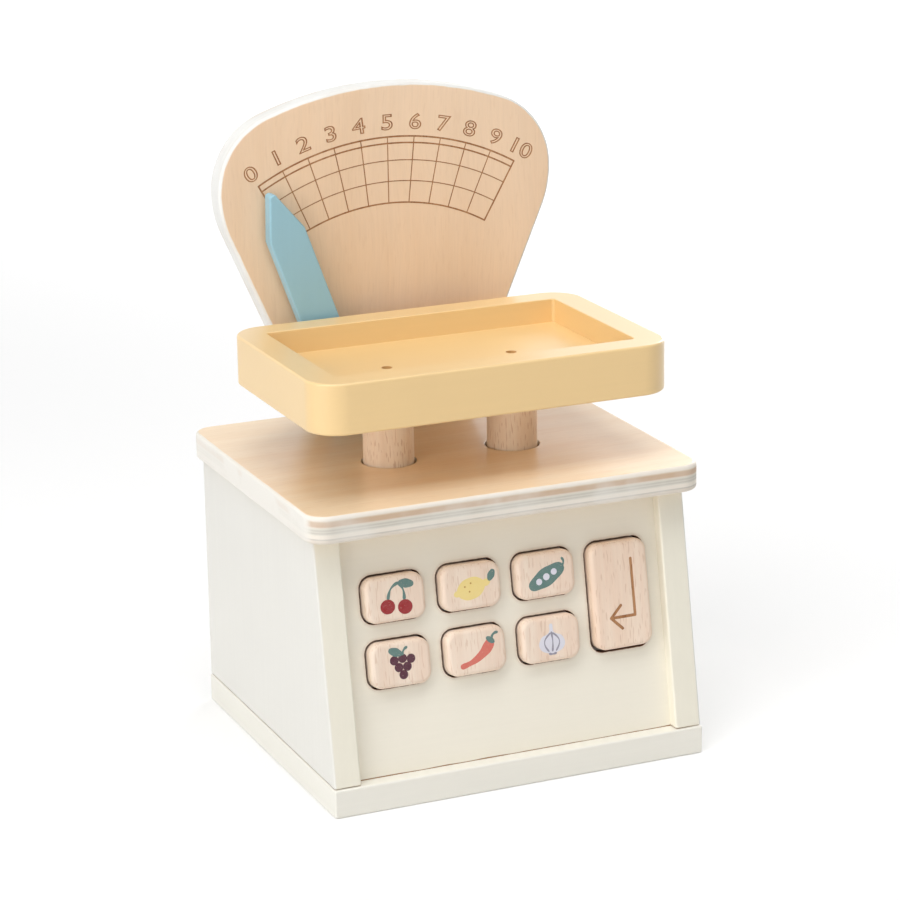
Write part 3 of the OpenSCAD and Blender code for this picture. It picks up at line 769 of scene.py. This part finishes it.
def add_number(cutter, words, along, up, size, turn, line, on_face):
    """Plain figures drawn as thin outlines, each line a round wire laid half into the face."""
    writing = bpy.data.curves.new("figures", "FONT")
    writing.body = words
    writing.size = size / mm
    writing.align_x = "CENTER"
    writing.fill_mode = "NONE"
    writing.bevel_depth = line / 2 / mm
    writing.bevel_resolution = 1
    writing.resolution_u = 5
    sheet = bpy.data.objects.new("figures", writing)
    solid = bpy.data.meshes.new_from_object(sheet)
    shape = bmesh.new()
    shape.from_mesh(solid)
    bmesh.ops.remove_doubles(shape, verts=shape.verts, dist=0.002)
    laid = on_face @ Matrix.Translation((along, up, 0)) @ Matrix.Rotation(turn, 4, "Z")
    broad = Matrix.Diagonal((1.3 * mm, mm, mm, 1))
    bmesh.ops.transform(shape, matrix=laid @ broad, verts=shape.verts)
    bmesh.ops.recalc_face_normals(shape, faces=shape.faces)
    shape.to_mesh(solid)
    shape.free()
    cutter.from_mesh(solid)
    bpy.data.objects.remove(sheet)
    bpy.data.meshes.remove(solid)


def engrave(piece, cutter, burn):
    """Cuts the grooves out of a piece and gives their walls and floors the burnt finish."""
    mesh = bpy.data.meshes.new("grooves")
    cutter.to_mesh(mesh)
    cutter.free()
    mesh.materials.append(burn)
    tool = put_in_scene("grooves", mesh)
    cut = piece.modifiers.new("engraving", "BOOLEAN")
    cut.object = tool
    cut.solver = "EXACT"
    cut.use_self = True
    cut.material_mode = "TRANSFER"
    bpy.context.view_layer.objects.active = piece
    bpy.ops.object.modifier_move_to_index(modifier=cut.name, index=0)
    bpy.ops.object.modifier_apply(modifier=cut.name)
    engraved = bmesh.new()
    engraved.from_mesh(piece.data)
    mark_sharp_edges(engraved)
    engraved.to_mesh(piece.data)
    engraved.free()
    bpy.data.objects.remove(tool)
    bpy.data.meshes.remove(mesh)


def on_dial_outline(point):
    return point.z > board_top - 0.1 * mm and (
        close(point.y, dial_front_y) or close(point.y, dial_back_y)
    )


dial_rounds = (dial_edge_r, 4, on_dial_outline)
dial = set_sanded(
    "dial_birch", "dial_board", "cabinet", "birch_plywood", dial_finish, dial_rounds
)

scale_arcs = [
    (scale_outer_r, bold_w),
    (118.9 * mm, middle_w),
    (111.2 * mm, fine_w),
    (101.9 * mm, fine_w),
    (scale_inner_r, middle_w),
]
arcs = bmesh.new()
for radius, width in scale_arcs:
    add_arc_groove(arcs, radius, width)
engrave(dial, arcs, scale_burn)
marks, figures = bmesh.new(), bmesh.new()
for mark in range(last_mark + 1):
    angle = scale_half_angle * (2 * mark / last_mark - 1)
    across, up = math.sin(angle), math.cos(angle)
    add_groove(
        marks,
        (scale_inner_r * across, scale_centre_z + scale_inner_r * up),
        (scale_outer_r * across, scale_centre_z + scale_outer_r * up),
        bold_w if mark in (0, last_mark) else mark_w,
        mark_depth,
        on_dial,
    )
    add_number(
        figures,
        str(mark),
        number_r * across,
        scale_centre_z + number_r * up,
        number_size,
        -angle,
        number_line,
        on_dial,
    )
engrave(dial, marks, scale_burn)
engrave(dial, figures, scale_burn)

# The pointer: 6.8 mm plywood in dusty blue paint, with rounded shoulders below its tip. It
# hangs on the pivot screw, and its crank reaches to the pin in the drive plate.
pivot = Vector((0, 54.2 * mm, 75.5 * mm))
pointer_lean = math.radians(19.75)
pointer_front_y, pointer_back_y = 50.8 * mm, 57.6 * mm
to_pointer = Matrix.Rotation(pointer_lean, 4, "Y") @ Matrix.Translation(-pivot)
pointer_half_w = 8.7 * mm
shoulder_r, pointer_edge_r = 4.5 * mm, 0.9 * mm
knee_up = 151.5 * mm
crank_r = 19.98 * mm
bore_reach = 4 * mm

blue = wood_paint("dusty_blue_paint", tone(150, 193, 209), 0.45, 0.4, along_z)


def at_knee(point):
    spot = to_pointer @ point
    return abs(spot.z - knee_up) < 0.5 * mm and abs(abs(spot.x) - pointer_half_w) < 0.5 * mm


def on_pointer_outline(point):
    spot = to_pointer @ point
    at_pivot = math.hypot(spot.x, spot.z) < bore_reach
    at_pin = math.hypot(spot.x - crank_r, spot.z) < bore_reach
    on_face = close(point.y, pointer_front_y) or close(point.y, pointer_back_y)
    return on_face and not at_pivot and not at_pin


set_sanded(
    "pointer_blue",
    "pointer",
    "swinging_pointer",
    "blue_paint",
    blue,
    (shoulder_r, 8, at_knee),
    (pointer_edge_r, 3, on_pointer_outline),
)

# The tray: one block of solid wood in warm yellow paint, its pocket routed out, with two
# sunk screw holes over the posts.
tray_high = 180.2 * mm
tray_edge_r, rim_edge_r = 1.1 * mm, 0.5 * mm
tray_half_w, tray_half_d, tray_corner_r = 81.6 * mm, 53.4 * mm, 14.5 * mm
pocket_half_w, pocket_half_d, pocket_corner_r = 68.5 * mm, 40.3 * mm, 1.5 * mm

yellow, yellow_tree, yellow_surface = new_finish("warm_yellow_paint")
yellow_skin = use_group(
    yellow_tree,
    paint_skin,
    Vector=object_place(yellow_tree),
    Color=tone(237, 203, 144),
    Grain=0.35,
    Gloss=0.42,
)
# The two sunk screw holes are coloured a darker tan: painted shade inside the holes.
from_pan_middle = object_place(yellow_tree, centre=(0, pan_y, 0))
folded = reckon_place(yellow_tree, "ABSOLUTE", from_pan_middle)
off_post = reckon_place(yellow_tree, "SUBTRACT", folded, (post_x, 0, 0))
from_hole = reckon_place(yellow_tree, "LENGTH", stretch(yellow_tree, off_post, (1, 1, 0)))
hole_shade_mask = fade(yellow_tree, from_hole, 2.6 * mm, 2.3 * mm)
yellow_with_hole_shade = over(yellow_tree, hole_shade_mask, yellow_skin["Color"], tone(216, 170, 112))
lay_paint(yellow_tree, yellow_surface, yellow_skin, yellow_with_hole_shade, coat=1, coat_roughness=0.3)


def on_tray_border(point):
    away = border_distance(point.x, point.y - pan_y, tray_half_w, tray_half_d, tray_corner_r)
    return abs(away) < arc_slack


def on_pocket_rim(point):
    away = border_distance(
        point.x, point.y - pan_y, pocket_half_w, pocket_half_d, pocket_corner_r
    )
    return close(point.z, tray_high) and abs(away) < arc_slack


set_sanded(
    "tray_yellow",
    "tray",
    "pan",
    "yellow_paint",
    yellow,
    (tray_edge_r, 4, on_tray_border),
    (rim_edge_r, 3, on_pocket_rim),
)

# The two posts: 22 mm beech dowels, varnished. They carry the tray, stand in the carriage
# and slide in the guide board.
beech = wood_look((250, 230, 206), (242, 216, 189), (196, 150, 112), 120, 0.45, 1700)


def bare_wood(name, turn, centre, tones):
    """Varnished solid wood whose grain runs along the turned X."""
    finish, tree, surface = new_finish(name)
    wood = use_group(tree, sanded, Vector=object_place(tree, turn, centre), **tones)
    set_inputs(
        surface, {"Base Color": wood["Color"], "Roughness": 0.5, "Specular IOR Level": 0.35}
    )
    raise_surface(tree, surface, wood["Height"], 0.08 * mm, 0.5)
    return finish


upright_beech = bare_wood("beech_upright", along_z, (0, 0, 0), beech)
for side in ("left", "right"):
    set_sanded(side + "_post_beech", side + "_post", "pan", "beech", upright_beech)

# The keys: six small beech blocks and a tall one, rounded on the front, that slide in the
# holes of the front panel. No two sit quite straight in their holes.
key_w, key_h, tall_key_h = 27 * mm, 19.4 * mm, 46.2 * mm
tall_key_y = tall_row + 0.35 * mm
key_out, key_inside = 5 * mm, 6.3 * mm
key_corner_r, key_edge_r = 5 * mm, 2.1 * mm
up_slope = Matrix.Rotation(panel_turn[0], 3, "X") @ Matrix.Rotation(math.pi / 2, 3, "Z")
key_grain = tuple(up_slope.to_euler())
key_beech = bare_wood(
    "beech_key",
    key_grain,
    panel_origin,
    wood_look((242, 224, 206), (236, 212, 192), (206, 166, 136), 110, 0.35, 1500),
)
tall_beech = bare_wood(
    "beech_tall_key",
    key_grain,
    panel_origin,
    wood_look((243, 222, 202), (237, 210, 188), (198, 158, 128), 130, 0.35, 1500),
)


def key_block(height):
    """A block with rounded corners and a rounded front, its panel's plane at zero."""
    block = bmesh.new()
    bmesh.ops.create_cube(block, size=1)
    bmesh.ops.scale(block, vec=(key_w, height, key_out + key_inside), verts=block.verts)
    bmesh.ops.translate(block, vec=(0, 0, (key_out - key_inside) / 2), verts=block.verts)
    corners = [e for e in block.edges if abs(e.verts[0].co.z - e.verts[1].co.z) > mm]
    round_off(block, corners, key_corner_r, 10)
    sand_round(block, key_edge_r, 6, lambda point: close(point.z, key_out))
    return block


keys = {
    "key_1": (columns[0], upper_row, 0.5),
    "key_2": (columns[1], upper_row, -0.4),
    "key_3": (columns[2], upper_row, 0.3),
    "key_4": (columns[0], lower_row, -0.5),
    "key_5": (columns[1], lower_row, 0.4),
    "key_6": (columns[2], lower_row, -0.3),
    "tall_key": (columns[3], tall_key_y, 0.4),
}


def key_place(key):
    """Where a key sits on the sloping panel, with its own small tilt."""
    x, y, tilt = keys[key]
    return on_panel @ Matrix.Translation((x, y, 0)) @ Matrix.Rotation(math.radians(tilt), 4, "Z")


caps = {}
for key in keys:
    block = key_block(tall_key_h if key == "tall_key" else key_h)
    bmesh.ops.transform(block, matrix=key_place(key), verts=block.verts)
    finish = tall_beech if key == "tall_key" else key_beech
    caps[key] = set_piece(key + "_cap", block, key + "_body", "beech", [finish], key)

# The return arrow burnt into the tall key, drawn from its upper end round the corner
arrow = bmesh.new()
on_tall_cap = key_place("tall_key") @ Matrix.Translation((0, 0, key_out))
arrow_line, barb = 1.3 * mm, 5 * mm
arrow_start = (5.4 * mm, 15 * mm)
arrow_corner, arrow_tip = (5.4 * mm, -9.5 * mm), (-6 * mm, -9.5 * mm)
strokes = [(arrow_start, arrow_corner), (arrow_corner, arrow_tip)]
for rise in (barb, -barb):
    strokes.append((arrow_tip, (arrow_tip[0] + barb, arrow_tip[1] + rise)))
for start, end in strokes:
    add_groove(arrow, start, end, arrow_line, groove_depth, on_tall_cap)
engrave(caps["tall_key"], arrow, scale_burn)

# The prints on the small keys: plain kitchen-garden shapes in thin matt ink, one motif to a
# key, with the wood's grain faintly showing through.
ink_t = 0.05 * mm
print_size = 1.25
ink_step = 0.012


def ink(name, colour):
    """Thin matt ink that lets specks of the wood through."""
    finish, tree, surface = new_finish(name)
    spot = object_place(tree, panel_turn, panel_origin)
    specks = fade(tree, cloud(tree, stretch(tree, spot, (0.4, 1, 1)), 2600, 3, 0.7), 0.6, 0.72)
    clouds = cloud(tree, spot, 500, 2)
    paler = over(tree, clouds, colour, tuple(0.94 * c + 0.06 for c in colour[:3]) + (1,))
    mask = reckon(tree, "MULTIPLY", specks, 0.4)
    inked = over(tree, mask, paler, tone(226, 200, 178))
    set_inputs(surface, {"Base Color": inked, "Roughness": 0.6, "Specular IOR Level": 0.3})
    raise_surface(tree, surface, clouds, 0.02 * mm, 0.4)
    return finish


inks = {
    "red": ink("ink_red", tone(150, 28, 32)),
    "teal": ink("ink_teal", tone(92, 124, 118)),
    "yellow": ink("ink_yellow", tone(240, 216, 140)),
    "ochre": ink("ink_ochre", tone(196, 150, 70)),
    "plum": ink("ink_plum", tone(78, 24, 46)),
    "coral": ink("ink_coral", tone(214, 112, 96)),
    "pale": ink("ink_pale", tone(222, 220, 230)),
    "grey": ink("ink_grey", tone(150, 146, 160)),
}


def leaf_points(x, y, length, width, turn):
    """A leaf or lens from its stalk at x, y, as the points of a smooth outline."""
    turned = Matrix.Rotation(math.radians(turn), 2)
    stalk = Vector((x, y))
    shares = ((0, 0), (0.3, 0.42), (0.62, 0.46), (1, 0), (0.62, -0.46), (0.3, -0.42))
    return [tuple(turned @ Vector((length * a, width * b)) + stalk) for a, b in shares]


def round_points(x, y, width, height, turn=0):
    """A round or oval spot."""
    turned = Matrix.Rotation(math.radians(turn), 2)
    middle = Vector((x, y))
    ring = [math.radians(a) for a in range(0, 360, 45)]
    return [
        tuple(turned @ Vector((width / 2 * math.cos(a), height / 2 * math.sin(a))) + middle)
        for a in ring
    ]


def dots(ink_name, width, *places):
    """Several round spots in one ink."""
    return [(ink_name, round_points(x, y, width, width)) for x, y in places]


def stalk_points(start, bend, end, width):
    """A thin curved line, as the points of its outline."""
    path = [Vector(p) for p in (start, bend, end)]
    run = (path[2] - path[0]).normalized()
    side = Vector((-run.y, run.x)) * width / 2
    return [tuple(p + side) for p in path] + [tuple(p - side) for p in reversed(path)]


# Each print lists its inks and outlines in mm from the middle of its key
prints = {
    "key_1": [
        ("teal", stalk_points((-3.0, -0.2), (-1.6, 3.4), (1.2, 5.4), 0.55)),
        ("teal", stalk_points((3.0, -1.0), (2.8, 2.6), (1.2, 5.4), 0.55)),
        ("teal", leaf_points(1.2, 5.2, 5.6, 3.2, -12)),
        ("red", round_points(-3.2, -2.4, 5.2, 4.9)),
        ("red", round_points(3.0, -3.2, 5.2, 4.9)),
    ],
    "key_2": [
        ("yellow", round_points(-0.4, -0.6, 10.4, 7.4, 14)),
        ("yellow", leaf_points(3.6, 0.4, 3.2, 2.6, 14)),
        ("yellow", leaf_points(-4.4, -1.6, 2.4, 2.2, 194)),
        ("teal", leaf_points(6.2, 1.2, 4.2, 2.6, 62)),
        *dots("ochre", 0.6, (-2.6, 0.2), (-0.4, 1.2), (-1.0, -1.6)),
    ],
    "key_3": [
        ("teal", leaf_points(-6.6, -3.8, 14.6, 6.6, 26)),
        ("pale", round_points(-2.9, -2.0, 2.2, 2.2)),
        ("pale", round_points(-0.1, -0.6, 2.4, 2.4)),
        ("pale", round_points(2.8, 0.8, 2.2, 2.2)),
        ("teal", stalk_points((5.6, 2.0), (6.6, 3.4), (6.2, 5.2), 0.6)),
    ],
    "key_4": [
        *dots("plum", 3.1, (-2.6, 1.4), (0.4, 1.8), (3.4, 1.4)),
        *dots("plum", 3.1, (-1.1, -1.1), (1.9, -1.1), (0.4, -3.7)),
        ("teal", leaf_points(0.4, 3.2, 5.2, 3.0, 158)),
        ("teal", stalk_points((0.4, 3.0), (0.9, 4.4), (2.2, 5.6), 0.6)),
    ],
    "key_5": [
        (
            "coral",
            [(4.6, 3.8), (6.2, 2.4), (5.6, 0.2), (2.4, -2.4), (-2.4, -4.4), (-6.6, -4.6)]
            + [(-2.6, -2.6), (0.8, 0.0), (2.8, 2.6)],
        ),
        ("teal", round_points(5.0, 3.2, 3.6, 1.9, -38)),
        ("teal", stalk_points((5.4, 3.8), (6.2, 5.0), (7.8, 5.6), 0.7)),
    ],
    "key_6": [
        (
            "pale",
            [(0.0, 5.4), (0.9, 2.4), (4.0, 0.6), (4.6, -2.6), (1.8, -4.6), (-1.8, -4.6)]
            + [(-4.6, -2.6), (-4.0, 0.6), (-0.9, 2.4)],
        ),
        ("grey", stalk_points((0.0, 2.6), (0.3, -0.8), (0.0, -4.2), 0.35)),
        ("grey", stalk_points((0.5, 2.2), (2.8, -0.8), (1.4, -4.2), 0.35)),
        ("grey", stalk_points((-0.5, 2.2), (-2.8, -0.8), (-1.4, -4.2), 0.35)),
        ("grey", stalk_points((-1.4, -4.9), (0.0, -5.1), (1.4, -4.9), 0.5)),
    ],
}


def printed_patch(points, finish, lift):
    """One ink patch: a smooth closed outline, filled and given its thin coat."""
    outline = bpy.data.curves.new("patch", "CURVE")
    outline.dimensions = "2D"
    outline.fill_mode = "BOTH"
    outline.extrude = ink_t / 2 / mm
    outline.resolution_u = 6
    spline = outline.splines.new("BEZIER")
    spline.bezier_points.add(len(points) - 1)
    for knot, (x, y) in zip(spline.bezier_points, points):
        knot.co = (x, y, lift)
        knot.handle_left_type = knot.handle_right_type = "AUTO"
    spline.use_cyclic_u = True
    holder = bpy.data.objects.new("patch", outline)
    mesh = bpy.data.meshes.new_from_object(holder)
    mesh.materials.clear()
    mesh.materials.append(finish)
    bpy.data.objects.remove(holder)
    return mesh


for key, motif in prints.items():
    sheet = bmesh.new()
    used = []
    for order, (ink_name, points) in enumerate(motif):
        patch = printed_patch(points, inks[ink_name], ink_step * order)
        before = len(sheet.faces)
        sheet.from_mesh(patch)
        sheet.faces.ensure_lookup_table()
        if inks[ink_name] not in used:
            used.append(inks[ink_name])
        for face in sheet.faces[before:]:
            face.material_index = used.index(inks[ink_name])
        bpy.data.meshes.remove(patch)
    bmesh.ops.remove_doubles(sheet, verts=sheet.verts, dist=0.001)
    on_cap = key_place(key) @ Matrix.Translation((0, 0, key_out + ink_t / 4))
    larger = Matrix.Diagonal((print_size * mm, print_size * mm, mm, 1))
    bmesh.ops.transform(sheet, matrix=on_cap @ larger, verts=sheet.verts)
    set_piece(key + "_print", sheet, key + "_body", "beech", used)

# The springs: bright steel wire. Two stand under the posts and carry the tray, and one
# behind each key, two behind the tall one, pushes it out again.
def fine_finish(name, drawn, scale, low, high, roughness, spread, metallic, relief):
    """A material whose tone, gloss and relief all follow one fine pattern."""
    finish, tree, surface = new_finish(name)
    pattern = cloud(tree, stretch(tree, object_place(tree), drawn), scale, 3)
    colour = over(tree, pattern, tone(*low), tone(*high))
    rough = reckon(tree, "MULTIPLY_ADD", pattern, spread, roughness)
    set_inputs(surface, {"Base Color": colour, "Roughness": rough, "Metallic": metallic})
    raise_surface(tree, surface, pattern, relief, 0.4)
    return finish


steel = fine_finish(
    "bright_spring_wire",
    drawn=(1, 1, 0.2),
    scale=2400,
    low=(186, 188, 192),
    high=(214, 216, 218),
    roughness=0.2,
    spread=0.2,
    metallic=1,
    relief=0.01 * mm,
)


def wound_spring(radius, length, wire, turns):
    """A coil: the wire's section turned round the axis while it climbs."""
    coil = bmesh.new()
    section = Matrix.Translation((radius, 0, wire / 2)) @ Matrix.Rotation(math.pi / 2, 4, "X")
    bmesh.ops.create_circle(coil, segments=10, radius=wire / 2, matrix=section)
    steps = 24 * turns
    bmesh.ops.spin(
        coil,
        geom=coil.verts[:] + coil.edges[:],
        cent=(0, 0, 0),
        axis=(0, 0, 1),
        dvec=(0, 0, (length - wire) / steps),
        angle=2 * math.pi * turns,
        steps=steps,
    )
    bmesh.ops.holes_fill(coil, edges=[e for e in coil.edges if e.is_boundary], sides=10)
    bmesh.ops.recalc_face_normals(coil, faces=coil.faces)
    return coil


pan_spring_r, pan_wire, pan_turns = 7 * mm, 1.2 * mm, 8
pan_spring_l, pan_travel = 33.7 * mm, 13.5 * mm
both_springs = bmesh.new()
for side in (-1, 1):
    spring = wound_spring(pan_spring_r, pan_spring_l, pan_wire, pan_turns)
    bmesh.ops.translate(spring, vec=(side * post_x, pan_y, base_top), verts=spring.verts)
    add_shape(both_springs, spring)
pan_coils = set_piece(
    "pan_spring_coils", both_springs, "cabinet", "bright_steel", [steel], "pan_springs"
)
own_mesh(pan_coils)

key_spring_r, key_wire, key_turns = 4 * mm, 0.7 * mm, 4
key_spring_l, key_travel = 8 * mm, 3 * mm
spring_foot = -17.3 * mm
stem_spread = 13.8 * mm
for key, (x, y, tilt) in keys.items():
    tall = key == "tall_key"
    coils = bmesh.new()
    for rise in (-stem_spread / 2, stem_spread / 2) if tall else (0,):
        spring = wound_spring(key_spring_r, key_spring_l, key_wire, key_turns)
        seat = on_panel @ Matrix.Translation((x, y + rise, spring_foot))
        bmesh.ops.transform(spring, matrix=seat, verts=spring.verts)
        add_shape(coils, spring)
    node = "tall_key_springs" if tall else key + "_spring"
    coil_piece = set_piece(node + "_coils", coils, "cabinet", "bright_steel", [steel], node)
    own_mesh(coil_piece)

# The pieces inside: plywood boards, beech battens, pegs and dowels, white moulded key
# retainers, zinc-plated screws and bright steel pins. They keep their own solids.
inner_ply = bare_wood(
    "plain_birch_inside",
    along_x,
    (0, 0, 0),
    wood_look((226, 196, 158), (210, 176, 136), (180, 136, 92), 70, 0.4, 700),
)
inner_beech = bare_wood("plain_beech_inside", along_x, (0, 0, 0), beech)

moulded = fine_finish(
    "white_moulded_plastic",
    drawn=(1, 1, 1),
    scale=300,
    low=(232, 232, 228),
    high=(240, 240, 237),
    roughness=0.35,
    spread=0.15,
    metallic=0,
    relief=0.02 * mm,
)
zinc = fine_finish(
    "zinc_plated_steel",
    drawn=(1, 1, 1),
    scale=900,
    low=(196, 188, 160),
    high=(214, 210, 196),
    roughness=0.25,
    spread=0.25,
    metallic=1,
    relief=0.02 * mm,
)

carried_over = {
    inner_ply: ("guide_board", "key_backing_board", "carriage", "drive_plate"),
    inner_beech: ("key_battens", "top_dowels", "spring_pegs", "post_pegs"),
    zinc: (
        "base_screws",
        "dial_screws",
        "backing_screws",
        "tray_screws",
        "carriage_screws",
        "drive_plate_screws",
    ),
    steel: ("pivot_screw", "crank_pin"),
    moulded: ("pivot_washer", *[key + "_retainer" for key in keys]),
}
for finish, nodes in carried_over.items():
    for node in nodes:
        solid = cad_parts[node]
        if not solid.material_slots:
            solid.data.materials.append(finish)
        for held in solid.material_slots:
            held.material = finish

# The stage: a plain white floor, two soft lights from the left as from windows, one above,
# a weak one in front, one behind for the sheen, and an even pale sky. The camera stands at
# the photograph's own angle and distance.
floor_half_w = 12
near_glow, far_glow = 0.14, 0.8
glow_start, glow_full = 0.5, 2.4
sky_light = 0.27
floor_mesh = bpy.data.meshes.new("floor")
floor_shape = bmesh.new()
bmesh.ops.create_grid(floor_shape, x_segments=1, y_segments=1, size=floor_half_w)
floor_shape.to_mesh(floor_mesh)
floor_shape.free()
floor = put_in_scene("floor", floor_mesh)
floor_white, floor_tree, floor_surface = new_finish("floor_white")


def seen_directly(tree):
    """A mask of the rays that show a background, straight or in metal or glass."""
    rays = place(tree, "ShaderNodeLightPath").outputs
    straight = reckon(tree, "MAXIMUM", rays["Is Camera Ray"], rays["Is Glossy Ray"])
    return reckon(tree, "MAXIMUM", straight, rays["Is Transmission Ray"])


from_toy = reckon_place(floor_tree, "LENGTH", object_place(floor_tree))
far_off = fade(floor_tree, from_toy, glow_start, glow_full)
glow = reckon(floor_tree, "MULTIPLY_ADD", far_off, far_glow - near_glow, near_glow)
floor_looks = {
    "Base Color": (0.86, 0.86, 0.86, 1),
    "Roughness": 0.9,
    "Emission Color": (1, 1, 1, 1),
    "Emission Strength": reckon(floor_tree, "MULTIPLY", seen_directly(floor_tree), glow),
}
set_inputs(floor_surface, floor_looks)
floor_mesh.materials.append(floor_white)

world = bpy.data.worlds.new("pale_sky")
world.use_nodes = True
bpy.context.scene.world = world
sky_tree = world.node_tree
sky_seen = seen_directly(sky_tree)
sky_strength = reckon(sky_tree, "MULTIPLY_ADD", sky_seen, 1 - sky_light, sky_light)
set_inputs(sky_tree.nodes["Background"], {"Color": (1, 1, 1, 1), "Strength": sky_strength})
middle_of_toy = Vector((0, 0, 0.12))


def soft_light(name, stand, size, power):
    """A square soft white light, aimed at the middle of the toy."""
    lamp = bpy.data.lights.new(name, "AREA")
    lamp.shape = "SQUARE"
    lamp.size = size
    lamp.energy = power
    lamp_object = put_in_scene(name, lamp)
    lamp_object.location = stand
    aim = middle_of_toy - Vector(stand)
    lamp_object.rotation_euler = aim.to_track_quat("-Z", "Y").to_euler()


soft_light("low_window", (-1.45, -0.5, 0.45), 1.0, 8.5)
soft_light("high_window", (-1.13, -0.74, 1.66), 1.1, 12.5)
soft_light("ceiling", (0, -0.35, 1.85), 1.2, 14)
soft_light("front_fill", (-0.2, -1.9, 0.8), 1.2, 2.5)
soft_light("back_sheen", (1.3, 1.1, 0.7), 1.0, 13)

camera_stand = (-0.517759, -1.210731, 0.516488)
view_round = math.radians(23.1885)
view_down = math.radians(16.247)
camera_roll = math.radians(0.9418)
camera_data = bpy.data.cameras.new("camera")
camera_data.sensor_width = 36
camera_data.lens = 126.498
camera_data.shift_x = 0.00264
camera_data.shift_y = -0.01236
camera_data.clip_start = 0.05
camera_data.clip_end = 60
camera = put_in_scene("camera", camera_data)
camera.matrix_world = (
    Matrix.Translation(camera_stand)
    @ Matrix.Rotation(-view_round, 4, "Z")
    @ Matrix.Rotation(math.pi / 2 - view_down, 4, "X")
    @ Matrix.Rotation(-camera_roll, 4, "Z")
)
bpy.context.scene.camera = camera
bpy.context.scene.view_settings.view_transform = "Standard"
